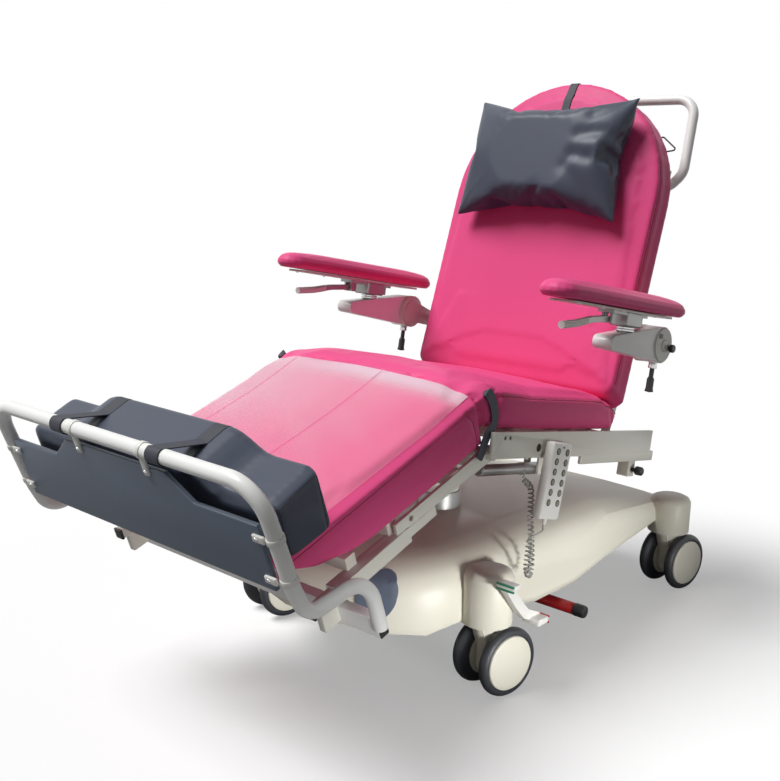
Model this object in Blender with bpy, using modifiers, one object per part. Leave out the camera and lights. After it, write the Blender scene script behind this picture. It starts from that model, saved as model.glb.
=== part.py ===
"""Dialysis chair on casters: moulded base, telescopic lift column, tilting seat frame with hinged
back and leg sections, sliding foot end, swivelling armrests and a wired handset.

Metres, +Z up. The patient faces -Y, the head end is +Y and +X is the patient's left.
The origin is on the floor under the middle of the chair's outline.
"""
import math

import bmesh
import bpy
from mathutils import Matrix, Vector

# Clearances
GAP = 0.0003            # between pieces that touch
PIN_GAP = 0.0004        # radial play of a pin in its eye

# Mattress
MATTRESS_WIDTH = 0.600
SEAT_LENGTH = 0.492     # knee line to hip line
SEAT_THICK = 0.080
LEG_LENGTH = 0.600
LEG_THICK = 0.108
BACK_LENGTH = 0.785
BACK_THICK = 0.084
CROWN = 0.015           # how far the middle of each cushion stands above its seams
SEAM_ROUND = 0.012      # rounding at the seams

# Attitude of the three sections in the photographed position
KNEE_Y = -0.12515
KNEE_Z = 0.649
SEAT_TILT = math.radians(9.0)     # rear of the seat below the knee
LEG_DROP = math.radians(19.7)     # leg section below the horizontal
BACK_RISE = math.radians(72.0)    # back section above the horizontal

# Pivots, in seat coordinates: s runs to the head end along the seat, n is square to it
HIP_S, HIP_N = 0.560, -0.100
HIP_FOLD = 0.38           # slope of the fold between the seat and back cushions
HIP_FOLD_GAP = 0.003
KNEE_PIVOT_S, KNEE_PIVOT_N = 0.030, -0.128
TILT_S, TILT_N = 0.263, -0.180
PIVOT_R = 0.012

# Base
BASE_NOSE_Y = -0.346
BASE_TAIL_Y = 0.772
BASE_HALF_WIDTH = 0.292
TOWER_X = BASE_HALF_WIDTH + 0.013
TOWER_FRONT_Y = BASE_NOSE_Y + 0.240
TOWER_REAR_Y = BASE_TAIL_Y - 0.053
TOWER_R = 0.054
TOWER_BOTTOM = 0.158
TOWER_FRONT_TOP = 0.275
TOWER_REAR_TOP = 0.255
BASE_TOP = 0.292
BASE_WALL = 0.004
CHASSIS_X = 0.130
CHASSIS_TUBE = 0.040

# Casters
WHEEL_R = 0.075
WHEEL_W = 0.033
CASTER_TRAIL = 0.025
FORK_W = 0.036
AXLE_R = 0.008
CASTER_TURN = math.radians(-11.0)
FRONT_LEFT_TURN = math.radians(169.0)

# Lift column
COLUMN_R = 0.052
COLUMN_WALL = 0.005
COLUMN_FOOT = 0.185
COLUMN_OUTER_TOP = 0.335
COLUMN_MIDDLE_TOP = 0.372
HEAD_R = 0.013

# Seat frame
RAIL_X = 0.306          # inner face of the side plates
RAIL_T = 0.008
RAIL_FRONT_S = 0.014
RAIL_REAR_S = 0.712
RAIL_DEPTH = 0.055
CROSS_TUBE = 0.025
BAR_FRONT_S = 0.372
BAR_DEPTH = 0.021

# Leg and foot frames
LINK_X = 0.292
LINK_T = 0.008
SLEEVE_X = 0.284
SLEEVE = 0.031
RUNNER = 0.022
SLEEVE_FRONT_U = 0.500
SLEEVE_REAR_U = 0.270
SLEEVE_N = -0.149
RUNNER_END_U = 0.558
BUMPER_X = 0.380
BUMPER_U = 0.655
BUMPER_TOP_N = 0.195
BUMPER_R = 0.0135
CROSSBAR_U = 0.495
PANEL_HALF = 0.355
PANEL_T = 0.010
FOOT_PAD_HALF = 0.357
FOOT_PAD_CLEAR = 0.0175
FOOT_PAD_DEPTH = 0.114
FOOT_PAD_U1 = BUMPER_U - BUMPER_R - FOOT_PAD_CLEAR
FOOT_PAD_U0 = FOOT_PAD_U1 - FOOT_PAD_DEPTH
FOOT_PAD_LOW, FOOT_PAD_HIGH = 0.145, 0.182
STRAP_T = 0.0016
STRAP_W = 0.030
STRAP_X = 0.142

# Back frame and handle
BACK_ARM_X = 0.262
BACK_ARM_T = 0.0048
BACK_ARM_DEPTH = 0.030
HANDLE_X = 0.268
HANDLE_N = -0.170
HANDLE_TOP_V = 0.800
HANDLE_FOOT_V = 0.560
HANDLE_R = 0.0125

# Armrests, measured from the arm pivot along the seat direction (a) and square to it (h)
ARM_V, ARM_N = 0.136, 0.008       # pivot in back coordinates
ARM_HUB_X = 0.349
ARM_BEAM_W = 0.047
ARM_BEAM_LENGTH = 0.238
ARM_DISC_R = 0.043
ARM_POST_A = -0.146
ARM_PAD_FRONT, ARM_PAD_REAR = -0.477, 0.080
ARM_PAD_W = 0.098
ARM_PAD_H = 0.066
ARM_PAD_T = 0.040
PLUNGER_A = 0.014
LEVER_W = 0.013
LEVER_PIN_R = 0.0040

# Handset
HANDSET_W, HANDSET_L, HANDSET_T = 0.078, 0.168, 0.024
HANDSET_Y, HANDSET_Z = 0.0715, 0.4325
HANDSET_LEAN = math.radians(-15.0)
BUTTON_R = 0.0052
BUTTON_PITCH_Y, BUTTON_PITCH_Z = 0.037, 0.0222
BUTTON_PROUD = 0.0014

# Curly cord
CORD_R = 0.0018
CURL_R = 0.0058
CURL_PITCH = 0.0100
CURL_POINTS = 8


# Scene

for old in list(bpy.data.objects):
    bpy.data.objects.remove(old, do_unlink=True)

PARTS = bpy.data.collections.new("dialysis_chair")
CUTTERS = bpy.data.collections.new("cutters")
for group in (PARTS, CUTTERS):
    bpy.context.scene.collection.children.link(group)

FINISHES = {
    "vinyl_pink": ((0.72, 0.10, 0.27, 1), 0.45, 0.0),
    "vinyl_navy": ((0.022, 0.028, 0.045, 1), 0.50, 0.0),
    "cream_moulding": ((0.70, 0.68, 0.61, 1), 0.40, 0.0),
    "cream_paint": ((0.74, 0.73, 0.68, 1), 0.35, 0.1),
    "white_tube": ((0.84, 0.85, 0.84, 1), 0.30, 0.1),
    "grey_metal": ((0.42, 0.43, 0.43, 1), 0.40, 0.6),
    "steel": ((0.62, 0.63, 0.64, 1), 0.28, 1.0),
    "black_plastic": ((0.015, 0.015, 0.017, 1), 0.50, 0.0),
    "tyre_grey": ((0.05, 0.055, 0.07, 1), 0.65, 0.0),
    "clear_film": ((0.92, 0.78, 0.83, 1), 0.10, 0.0),
    "red_grip": ((0.45, 0.02, 0.03, 1), 0.45, 0.0),
    "handset_white": ((0.82, 0.82, 0.80, 1), 0.45, 0.0),
    "button_grey": ((0.14, 0.14, 0.13, 1), 0.50, 0.0),
    "cord_grey": ((0.50, 0.50, 0.48, 1), 0.55, 0.0),
}


def finish(name):
    """The Principled material of one finish."""
    found = bpy.data.materials.get(name)
    if found:
        return found
    colour, roughness, metallic = FINISHES[name]
    material = bpy.data.materials.new(name)
    material.use_nodes = True
    shader = material.node_tree.nodes["Principled BSDF"]
    shader.inputs["Base Color"].default_value = colour
    shader.inputs["Roughness"].default_value = roughness
    shader.inputs["Metallic"].default_value = metallic
    return material


def rot_x(angle):
    return Matrix.Rotation(angle, 4, "X")


class Datum:
    """A local frame (origin and turn about X) with an empty on the joint axis that carries it."""

    def __init__(self, name, origin, turn, pivot=(0.0, 0.0, 0.0), parent=None):
        self.frame = Matrix.Translation(origin) @ rot_x(turn)
        self.pivot = Vector(pivot)
        self.empty = bpy.data.objects.new(name, None)
        PARTS.objects.link(self.empty)
        self.empty.empty_display_size = 0.05
        world = self.frame @ Matrix.Translation(self.pivot)
        if parent:
            self.empty.parent = parent.empty
            world = (parent.frame @ Matrix.Translation(parent.pivot)).inverted() @ world
        self.empty.matrix_basis = world

    def point(self, x, y, z):
        """World place of a local point."""
        return self.frame @ Vector((x, y, z))

    def carry(self, piece):
        piece.parent = self.empty
        piece.matrix_basis = Matrix.Translation(-self.pivot) @ piece.matrix_basis
        return piece


# Modelling helpers

def mesh_object(name, bm, material=None, smooth=True):
    """A finished bmesh as a named object."""
    bmesh.ops.recalc_face_normals(bm, faces=bm.faces)
    mesh = bpy.data.meshes.new(name)
    bm.to_mesh(mesh)
    bm.free()
    if smooth and len(mesh.polygons):
        mesh.shade_smooth()
        mesh.set_sharp_from_angle(angle=math.radians(35))
    piece = bpy.data.objects.new(name, mesh)
    PARTS.objects.link(piece)
    if material:
        mesh.materials.append(finish(material))
    return piece


def box(name, low, high, material=None, bevel=0.0, segments=2):
    """A box between two corners, with rounded edges where a bevel is given."""
    bm = bmesh.new()
    bmesh.ops.create_cube(bm, size=1.0)
    low, high = Vector(low), Vector(high)
    size, middle = high - low, (high + low) / 2
    for vert in bm.verts:
        vert.co = Vector(c * s for c, s in zip(vert.co, size)) + middle
    if bevel:
        bmesh.ops.bevel(bm, geom=bm.edges[:], offset=bevel, segments=segments, profile=0.5, affect="EDGES")
    return mesh_object(name, bm, material)


def rod(name, start, end, radius, material=None, sides=20, end_radius=None, bevel=0.0):
    """A round bar or cone between two points."""
    start, end = Vector(start), Vector(end)
    axis = end - start
    bm = bmesh.new()
    bmesh.ops.create_cone(bm, cap_ends=True, segments=sides, radius1=radius,
                          radius2=radius if end_radius is None else end_radius, depth=axis.length)
    if bevel:
        rims = [e for e in bm.edges if any(len(f.verts) > 4 for f in e.link_faces)]
        bmesh.ops.bevel(bm, geom=rims, offset=bevel, segments=2, profile=0.5, affect="EDGES")
    turn = axis.to_track_quat("Z", "Y").to_matrix().to_4x4()
    bmesh.ops.transform(bm, verts=bm.verts, matrix=Matrix.Translation((start + end) / 2) @ turn)
    return mesh_object(name, bm, material)


def turned(name, profile, material=None, sides=28, along="Z"):
    """A turned piece: (radius, height) points down the outer side, swept by a Screw modifier."""
    mesh = bpy.data.meshes.new(name)
    mesh.from_pydata([(r, 0.0, z) for r, z in profile], [(i, i + 1) for i in range(len(profile) - 1)], [])
    piece = bpy.data.objects.new(name, mesh)
    PARTS.objects.link(piece)
    screw = piece.modifiers.new("turn", "SCREW")
    screw.steps = screw.render_steps = sides
    screw.use_merge_vertices = True
    screw.merge_threshold = 0.00005
    screw.use_smooth_shade = True
    if material:
        mesh.materials.append(finish(material))
    if along == "X":
        piece.matrix_basis = Matrix.Rotation(math.radians(90), 4, "Y")
    return piece


def loft(name, rings, material=None, closed=True):
    """Quads between rings of equal count, with the first and last ring capped where closed."""
    bm = bmesh.new()
    rows = [[bm.verts.new(p) for p in ring] for ring in rings]
    count = len(rows[0])
    for lower, upper in zip(rows, rows[1:]):
        for i in range(count):
            j = (i + 1) % count
            bm.faces.new((lower[i], lower[j], upper[j], upper[i]))
    if closed:
        bm.faces.new(rows[0])
        bm.faces.new(rows[-1])
    return mesh_object(name, bm, material)


def inset(outline, distance):
    """A closed outline, counter-clockwise, moved in by a distance along its corners."""
    moved = []
    for i, point in enumerate(outline):
        here = Vector(point)
        before = (here - Vector(outline[i - 1])).normalized()
        after = (Vector(outline[(i + 1) % len(outline)]) - here).normalized()
        n0, n1 = Vector((-before.y, before.x)), Vector((-after.y, after.x))
        corner = (n0 + n1) / (1.0 + n0.dot(n1))
        moved.append(here + corner * distance)
    return moved


def arc(centre, radius, start, end, steps):
    """Points on an arc, angles in degrees."""
    angles = [math.radians(start + (end - start) * i / steps) for i in range(steps + 1)]
    return [(centre[0] + radius * math.cos(a), centre[1] + radius * math.sin(a)) for a in angles]


def plate(name, outline, thickness, to_world, material=None, bevel=0.0):
    """A flat outline as a 2D curve, extruded by half its thickness to each side."""
    curve = bpy.data.curves.new(name, "CURVE")
    curve.dimensions = "2D"
    curve.fill_mode = "BOTH"
    curve.extrude = thickness / 2
    spline = curve.splines.new("POLY")
    spline.points.add(len(outline) - 1)
    for point, (a, b) in zip(spline.points, outline):
        point.co = (a, b, 0.0, 1.0)
    spline.use_cyclic_u = True
    piece = bpy.data.objects.new(name, curve)
    PARTS.objects.link(piece)
    piece = curve_to_mesh(piece, material)
    piece.data.transform(to_world)
    if bevel:
        edge = piece.modifiers.new("edge", "BEVEL")
        edge.width = bevel
        edge.segments = 1
        edge.limit_method = "ANGLE"
    return piece


# A plate drawn in (y, z) with its thickness along X, and one drawn in (x, y) with it along Z
SIDE_ON = Matrix(((0, 0, 1, 0), (1, 0, 0, 0), (0, 1, 0, 0), (0, 0, 0, 1)))


def curve_to_mesh(piece, material=None):
    """The evaluated curve as a welded mesh object of the same name."""
    name = piece.name
    bpy.context.view_layer.update()
    evaluated = piece.evaluated_get(bpy.context.evaluated_depsgraph_get())
    mesh = bpy.data.meshes.new_from_object(evaluated)
    bm = bmesh.new()
    bm.from_mesh(mesh)
    bmesh.ops.remove_doubles(bm, verts=bm.verts, dist=0.00002)
    curve = piece.data
    place = piece.matrix_world.copy()
    bpy.data.objects.remove(piece, do_unlink=True)
    bpy.data.curves.remove(curve)
    bpy.data.meshes.remove(mesh)
    made = mesh_object(name, bm, material)
    made.name = name
    made.matrix_basis = place
    return made


def tube(name, points, radius, material=None, cyclic=False, resolution=2, keep_curve=False):
    """A round tube along a polyline."""
    curve = bpy.data.curves.new(name, "CURVE")
    curve.dimensions = "3D"
    curve.fill_mode = "FULL"
    curve.bevel_depth = radius
    curve.bevel_resolution = resolution
    curve.use_fill_caps = True
    spline = curve.splines.new("POLY")
    spline.points.add(len(points) - 1)
    for point, place in zip(spline.points, points):
        point.co = (*place, 1.0)
    spline.use_cyclic_u = cyclic
    piece = bpy.data.objects.new(name, curve)
    PARTS.objects.link(piece)
    if keep_curve:
        curve.materials.append(finish(material))
        return piece
    return curve_to_mesh(piece, material)


def bent(points, radius, steps=4):
    """A polyline with its inner corners rounded to a bend radius."""
    points = [Vector(p) for p in points]
    path = [points[0]]
    for before, corner, after in zip(points, points[1:], points[2:]):
        into, out = (before - corner).normalized(), (after - corner).normalized()
        half = into.angle(out) / 2
        reach = min(radius / math.tan(half), 0.48 * (before - corner).length, 0.48 * (after - corner).length)
        bend = reach * math.tan(half)
        centre = corner + (into + out).normalized() * bend / math.sin(half)
        first, last = corner + into * reach, corner + out * reach
        for i in range(steps + 1):
            along = first.lerp(last, i / steps) - centre
            path.append(centre + along.normalized() * bend)
    return path + [points[-1]]


def join(name, pieces, material):
    """One solid from overlapping pieces, by Boolean unions."""
    body = pieces[0]
    for number, other in enumerate(pieces[1:]):
        add_boolean(body, other, "UNION", number)
    body.name = name
    body.data.name = name
    body.data.materials.clear()
    body.data.materials.append(finish(material))
    return body


def cut(body, cutters):
    for number, cutter in enumerate(cutters):
        add_boolean(body, cutter, "DIFFERENCE", number)
    return body


def add_boolean(body, other, operation, number):
    """Apply another solid to a body, and keep that solid as a hidden guide."""
    for group in list(other.users_collection):
        group.objects.unlink(other)
    CUTTERS.objects.link(other)
    other.hide_render = True
    other.display_type = "WIRE"
    other.name = f"{body.name}_{operation.lower()}_{number}"
    step = body.modifiers.new(operation.lower(), "BOOLEAN")
    step.operation = operation
    step.object = other
    step.solver = "EXACT"


def settle(body):
    """Turn the modifiers of a body into its mesh, so that it can be moved freely."""
    bpy.context.view_layer.update()
    evaluated = body.evaluated_get(bpy.context.evaluated_depsgraph_get())
    mesh = bpy.data.meshes.new_from_object(evaluated)
    mesh.name = body.name
    for step in list(body.modifiers):
        guide = getattr(step, "object", None)
        body.modifiers.remove(step)
        if guide:
            bpy.data.objects.remove(guide, do_unlink=True)
    body.data = mesh
    return body


def ribbon(centreline, thickness):
    """The closed outline of a band that follows a 2D centreline."""
    sides = ([], [])
    for i, point in enumerate(centreline):
        here = Vector(point)
        back = Vector(centreline[max(i - 1, 0)])
        ahead = Vector(centreline[min(i + 1, len(centreline) - 1)])
        along = (ahead - back).normalized()
        across = Vector((-along.y, along.x)) * thickness / 2
        sides[0].append(here + across)
        sides[1].append(here - across)
    return sides[1] + sides[0][::-1]


def smooth_step(low, high, value):
    t = min(max((value - low) / (high - low), 0.0), 1.0)
    return t * t * (3 - 2 * t)


# Local frames of the sections

SEAT = Datum("tilt_pivot", (0, KNEE_Y, KNEE_Z), -SEAT_TILT, (0, TILT_S, TILT_N))
KNEE = SEAT.point(0, KNEE_PIVOT_S, KNEE_PIVOT_N)
LEG = Datum("knee_pivot", (0, KNEE_Y, KNEE_Z), LEG_DROP,
            rot_x(-LEG_DROP) @ (KNEE - Vector((0, KNEE_Y, KNEE_Z))), SEAT)
HIP_LINE = SEAT.point(0, SEAT_LENGTH, 0)
HIP = SEAT.point(0, HIP_S, HIP_N)
BACK = Datum("hip_pivot", HIP_LINE, BACK_RISE, rot_x(-BACK_RISE) @ (HIP - HIP_LINE), SEAT)
HALF = MATTRESS_WIDTH / 2


# Base

def base_outline():
    """Plan of the moulded cover: round nose, straight flanks, round tail corners."""
    flank = [(BASE_HALF_WIDTH * f, BASE_NOSE_Y + d) for f, d in
             ((0.22, 0.006), (0.46, 0.026), (0.67, 0.062), (0.84, 0.115), (0.94, 0.185), (1.0, 0.29))]
    flank += [(BASE_HALF_WIDTH, BASE_NOSE_Y + 0.29 + 0.16 * i) for i in range(1, 4)]
    tail = arc((BASE_HALF_WIDTH - 0.07, BASE_TAIL_Y - 0.07), 0.07, 0, 90, 4)
    right = flank + tail + [(BASE_HALF_WIDTH * 0.35, BASE_TAIL_Y + 0.014)]
    left = [(-x, y) for x, y in reversed(right)]
    return right + left


def base_rim(y):
    """Height of the cover's lower edge: low belly, arched up to the rear casters, low nose."""
    belly = 0.132 + 0.062 * smooth_step(0.26, 0.62, y)
    nose = 0.020 * smooth_step(BASE_NOSE_Y + 0.14, BASE_NOSE_Y + 0.01, y)
    return belly + nose + 0.036 * math.exp(-((y - TOWER_FRONT_Y) / 0.11) ** 2)


def base_crest(y):
    """Height of the top of the cover along the chair."""
    return BASE_TOP - 0.045 * smooth_step(0.42, 0.74, y) - 0.012 * smooth_step(-0.18, -0.34, y)


def make_base_cover():
    outline = base_outline()
    levels = ((0.0, 0.012), (0.10, 0.0), (0.55, 0.020), (0.78, 0.065), (0.92, 0.16),
              (1.0, 0.36), (1.02, 0.58))
    rings = []
    for share, inward in levels:
        ring = []
        for x, y in outline:
            spine = Vector((0.25 * x, min(max(y, BASE_NOSE_Y + 0.25), BASE_TAIL_Y - 0.20)))
            p = Vector((x, y)).lerp(spine, inward)
            ring.append((p.x, p.y, base_rim(y) + share * (base_crest(p.y) - base_rim(y))))
        rings.append(ring)
    bm = bmesh.new()
    rows = [[bm.verts.new(p) for p in ring] for ring in rings]
    count = len(outline)
    for lower, upper in zip(rows, rows[1:]):
        for i in range(count):
            j = (i + 1) % count
            bm.faces.new((lower[i], lower[j], upper[j], upper[i]))
    for i in range(count // 2 - 1):
        bm.faces.new((rows[-1][i], rows[-1][i + 1], rows[-1][count - 2 - i], rows[-1][count - 1 - i]))
    cover = mesh_object("base_cover", bm, "cream_moulding")
    wall = cover.modifiers.new("wall", "SOLIDIFY")
    wall.thickness = BASE_WALL
    wall.offset = -1.0
    for side in (1, -1):
        for y, top in ((TOWER_FRONT_Y, TOWER_FRONT_TOP), (TOWER_REAR_Y, TOWER_REAR_TOP)):
            dome = [(0.0, top), (TOWER_R - 0.018, top), (TOWER_R - 0.006, top - 0.005),
                    (TOWER_R, top - 0.016),
                    (TOWER_R, TOWER_BOTTOM), (0.0, TOWER_BOTTOM)]
            tower = turned("tower", dome, sides=20)
            tower.location = (side * TOWER_X, y, 0)
            add_boolean(cover, tower, "UNION", 0)
    opening = rod("opening", (0, COLUMN_Y, BASE_TOP - 0.06), (0, COLUMN_Y, BASE_TOP + 0.06),
                  COLUMN_R + 0.0006, sides=20)
    cut(cover, [opening])
    return cover


def make_base_chassis():
    """Welded ladder frame under the cover, with the outer tube of the lift column on it."""
    low = COLUMN_FOOT - CHASSIS_TUBE - 0.006
    high = low + CHASSIS_TUBE
    front, rear = BASE_NOSE_Y + 0.12, BASE_TAIL_Y - 0.06
    half = CHASSIS_TUBE / 2
    tower_face = TOWER_X - TOWER_R - GAP
    bars = [box("base_chassis", (CHASSIS_X - half, front, low + 0.03), (CHASSIS_X + half, rear, high + 0.03)),
            box("rail", (-CHASSIS_X - half, front, low + 0.03), (-CHASSIS_X + half, rear, high + 0.03))]
    for y in (TOWER_FRONT_Y, TOWER_REAR_Y):
        bars.append(box("cross", (-tower_face, y - half * 0.8, low + 0.036),
                        (tower_face, y + half * 0.8, high + 0.022)))
    bars.append(box("deck", (-CHASSIS_X - 0.01, COLUMN_Y - 0.08, low + 0.04),
                    (CHASSIS_X + 0.01, COLUMN_Y + 0.08, high + 0.018)))
    bars.append(rod("outer", (0, COLUMN_Y, low + 0.034), (0, COLUMN_Y, COLUMN_OUTER_TOP), COLUMN_R, sides=20))
    chassis = join("base_chassis", bars, "grey_metal")
    bore = rod("bore", (0, COLUMN_Y, COLUMN_FOOT), (0, COLUMN_Y, COLUMN_OUTER_TOP + 0.02),
               COLUMN_R - COLUMN_WALL, sides=20)
    return cut(chassis, [bore])


def make_column_stages():
    """The sliding stages, each one clearance inside the last, and the tilt head on the inner one."""
    middle_r = COLUMN_R - COLUMN_WALL - GAP
    inner_r = middle_r - COLUMN_WALL - GAP
    middle = rod("column_middle", (0, COLUMN_Y, COLUMN_FOOT + GAP), (0, COLUMN_Y, COLUMN_MIDDLE_TOP),
                 middle_r, "cream_paint", sides=20)
    cut(middle, [rod("bore", (0, COLUMN_Y, COLUMN_FOOT - 0.01), (0, COLUMN_Y, COLUMN_MIDDLE_TOP + 0.01),
                     inner_r + GAP, sides=20)])
    head = SEAT.point(0, TILT_S, TILT_N)
    inner = join("column_inner", [
        rod("column_inner", (0, COLUMN_Y, COLUMN_FOOT + GAP), (0, COLUMN_Y, head.z - 0.016), inner_r,
            sides=20),
        rod("neck", (0, COLUMN_Y, head.z - 0.030), (0, COLUMN_Y, head.z + 0.002), inner_r * 0.75, sides=20),
        rod("shaft", (-EAR_X - 0.014, head.y, head.z), (EAR_X + 0.014, head.y, head.z), HEAD_R, sides=20),
        rod("boss", (-EAR_X + 0.006, head.y, head.z), (EAR_X - 0.006, head.y, head.z), HEAD_R + 0.009,
            sides=20),
    ], "cream_paint")
    return middle, inner


EAR_X = 0.058           # tilt ears of the seat frame, either side of the column head
COLUMN_Y = SEAT.point(0, TILT_S, TILT_N).y


# Casters

def make_caster(tag, x, y, turn):
    """Swivelling leg with a twin wheel on one axle; the wheel trails the swivel axis."""
    empty = bpy.data.objects.new(f"swivel_{tag}", None)
    PARTS.objects.link(empty)
    empty.matrix_basis = Matrix.Translation((x, y, 0)) @ Matrix.Rotation(turn, 4, "Z")
    eye = AXLE_R + 0.014
    top = TOWER_BOTTOM - GAP
    shoulder = top - 0.001
    outline = ([(-0.029, shoulder), (CASTER_TRAIL - 1.15 * eye, WHEEL_R - 0.002)]
               + arc((CASTER_TRAIL, WHEEL_R), eye, 205, 375, 7) + [(0.031, shoulder)])
    leg = join(f"caster_fork_{tag}", [
        plate(f"caster_fork_{tag}", outline, FORK_W, SIDE_ON),
        rod("collar", (0, 0, 2 * WHEEL_R + 0.0012), (0, 0, top), 0.030, sides=20),
    ], "cream_moulding")
    cut(leg, [rod("eye", (-FORK_W, CASTER_TRAIL, WHEEL_R), (FORK_W, CASTER_TRAIL, WHEEL_R),
                  AXLE_R + PIN_GAP, sides=20)])
    settle(leg).parent = empty
    near = FORK_W / 2 + GAP * 3
    far = near + WHEEL_W
    half = [(0.0, far), (WHEEL_R - 0.020, far - 0.003), (WHEEL_R - 0.018, far - 0.007),
            (WHEEL_R - 0.014, far - 0.003),
            (WHEEL_R - 0.006, far - 0.005), (WHEEL_R, far - 0.013), (WHEEL_R, near + 0.010),
            (WHEEL_R - 0.006, near), (AXLE_R, near)]
    profile = half + [(r, -h) for r, h in reversed(half)]
    wheels = turned(f"caster_wheels_{tag}", profile, "tyre_grey", sides=22, along="X")
    wheels.matrix_basis = Matrix.Translation((0, CASTER_TRAIL, WHEEL_R)) @ wheels.matrix_basis
    wheels.parent = empty
    return leg, wheels


# Foot pedals

def make_brake_pedal():
    """See-saw pedal on the outside of the front caster tower, seen pressed at its rear end."""
    pivot = Vector((TOWER_X + TOWER_R + 0.014, TOWER_FRONT_Y + 0.010, 0.212))
    lever = plate("brake_pedal", [(-0.060, 0.052), (-0.050, 0.064), (-0.004, 0.018), (0.030, -0.018),
                                  (0.074, -0.038), (0.070, -0.056), (0.018, -0.036), (-0.014, -0.004)],
                  0.016, SIDE_ON)
    pads = [box("tread_front", (-0.012, -0.062, 0.050), (0.030, -0.036, 0.062), bevel=0.003),
            box("tread_rear", (-0.012, 0.038, -0.054), (0.030, 0.076, -0.040), bevel=0.003),
            rod("stub", (-0.0135, 0.0, 0.0), (0.006, 0.0, 0.0), 0.010, sides=20)]
    pedal = settle(join("brake_pedal", [lever] + pads, "handset_white"))
    empty = bpy.data.objects.new("brake_pivot", None)
    PARTS.objects.link(empty)
    empty.location = pivot
    pedal.parent = empty
    return pedal


def make_lock_pedal():
    """Red foot bar under the flank of the base, on an arm that hinges inside the cover."""
    empty = bpy.data.objects.new("lock_pivot", None)
    PARTS.objects.link(empty)
    empty.location = (0.0, LOCK_Y, LOCK_Z)
    pedal = settle(join("lock_pedal", [
        rod("lock_pedal", (0.225, 0.062, -0.098), (0.362, 0.062, -0.098), 0.0140, sides=20, bevel=0.003),
        plate("arm", ribbon([(0.0, 0.0), (0.020, -0.030), (0.062, -0.098)], 0.016), 0.012,
              Matrix.Translation((0.235, 0, 0)) @ SIDE_ON),
        rod("axle", (CHASSIS_X + CHASSIS_TUBE / 2 + GAP, 0, 0), (0.245, 0, 0), 0.009, sides=20),
    ], "red_grip"))
    pedal.parent = empty
    return pedal


LOCK_Y = TOWER_FRONT_Y + 0.250
LOCK_Z = 0.194


# Seat section

def cushion(name, profile, half, crown_at, material, stations=(1.0, 0.975, 0.90, 0.60, 0.0)):
    """A box cushion: a side profile carried across X, drawn in at the sides and crowned on top."""
    across = [-s for s in stations] + [s for s in reversed(stations[:-1])]
    rings = []
    for share in across:
        x = half * share
        into = SEAM_ROUND * smooth_step(0.90, 1.0, abs(share)) ** 2
        rise = CROWN * (1.0 - share * share)
        ring = inset(profile, into)
        rings.append([(x, p.x, p.y + rise * crown_at(p.x, p.y)) for p in ring])
    return loft(name, rings, material)


def back_foot(n):
    """Lower end of the back cushion at a depth: mitred, so that it reaches lower towards its rear."""
    return 0.004 + HIP_FOLD * n


def make_seat_cushion():
    """Box cushion whose rear end is mitred under the back cushion and undercut towards the frame."""
    end = SEAT_LENGTH - 0.006
    front = KNEE_PIVOT_S + 0.006
    fold = [SEAT.frame.inverted() @ BACK.point(0, back_foot(n) - HIP_FOLD_GAP, n)
            for n in (-0.9 * BACK_THICK, -0.6 * BACK_THICK, -0.3 * BACK_THICK)]
    tip = fold[0]
    profile = ([(front, -SEAT_THICK + 0.004), (0.20, -SEAT_THICK), (0.40, -SEAT_THICK),
                (tip.y - 0.027, -SEAT_THICK)]
               + [(p.y, p.z) for p in fold]
               + [(end, -0.010), (end - 0.015, 0.0), (0.36, 0.0), (0.20, 0.0), (front + 0.012, 0.0),
                  (front, -0.003)])

    def crown_at(s, n):
        return smooth_step(-0.05, 0.0, n) * smooth_step(end + 0.02, end - 0.12, s)

    return SEAT.carry(cushion("seat_cushion", profile, HALF, crown_at, "vinyl_pink"))


def make_knee_gusset():
    """Soft wedge that closes the mattress round the knee between the seat and leg cushions."""
    spread = math.degrees(SEAT_TILT + LEG_DROP)
    seat_face, leg_face = KNEE_PIVOT_S + 0.006 - GAP, KNEE_PIVOT_S + 0.007 - GAP
    leg_side = [SEAT.frame.inverted() @ LEG.point(0, -leg_face, n) for n in (-0.005, -0.038, -0.072)]
    ring = ([(seat_face, -0.072), (seat_face, -0.038), (seat_face, -0.005)]
            + arc((KNEE_PIVOT_S, KNEE_PIVOT_N), -KNEE_PIVOT_N - 0.0015, 91, 88 + spread, 4)
            + [(p.y, p.z) for p in leg_side])

    def crown_at(s, n):
        return smooth_step(-0.05, 0.0, n)

    return SEAT.carry(cushion("knee_gusset", ring, HALF, crown_at, "vinyl_pink"))


def make_knee_strap(tag, side):
    """Elastic band of the leg cover, down the side of the knee."""
    line = [(-0.016, -0.004), (0.006, -0.018), (0.026, -0.042), (0.031, -0.070), (0.028, -0.104)]
    band = plate(f"knee_strap_{tag}", ribbon(line, 0.022), STRAP_T,
                 Matrix.Translation((side * (HALF + STRAP_T / 2 + GAP), 0, 0)) @ SIDE_ON, "black_plastic")
    return SEAT.carry(band)


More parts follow.
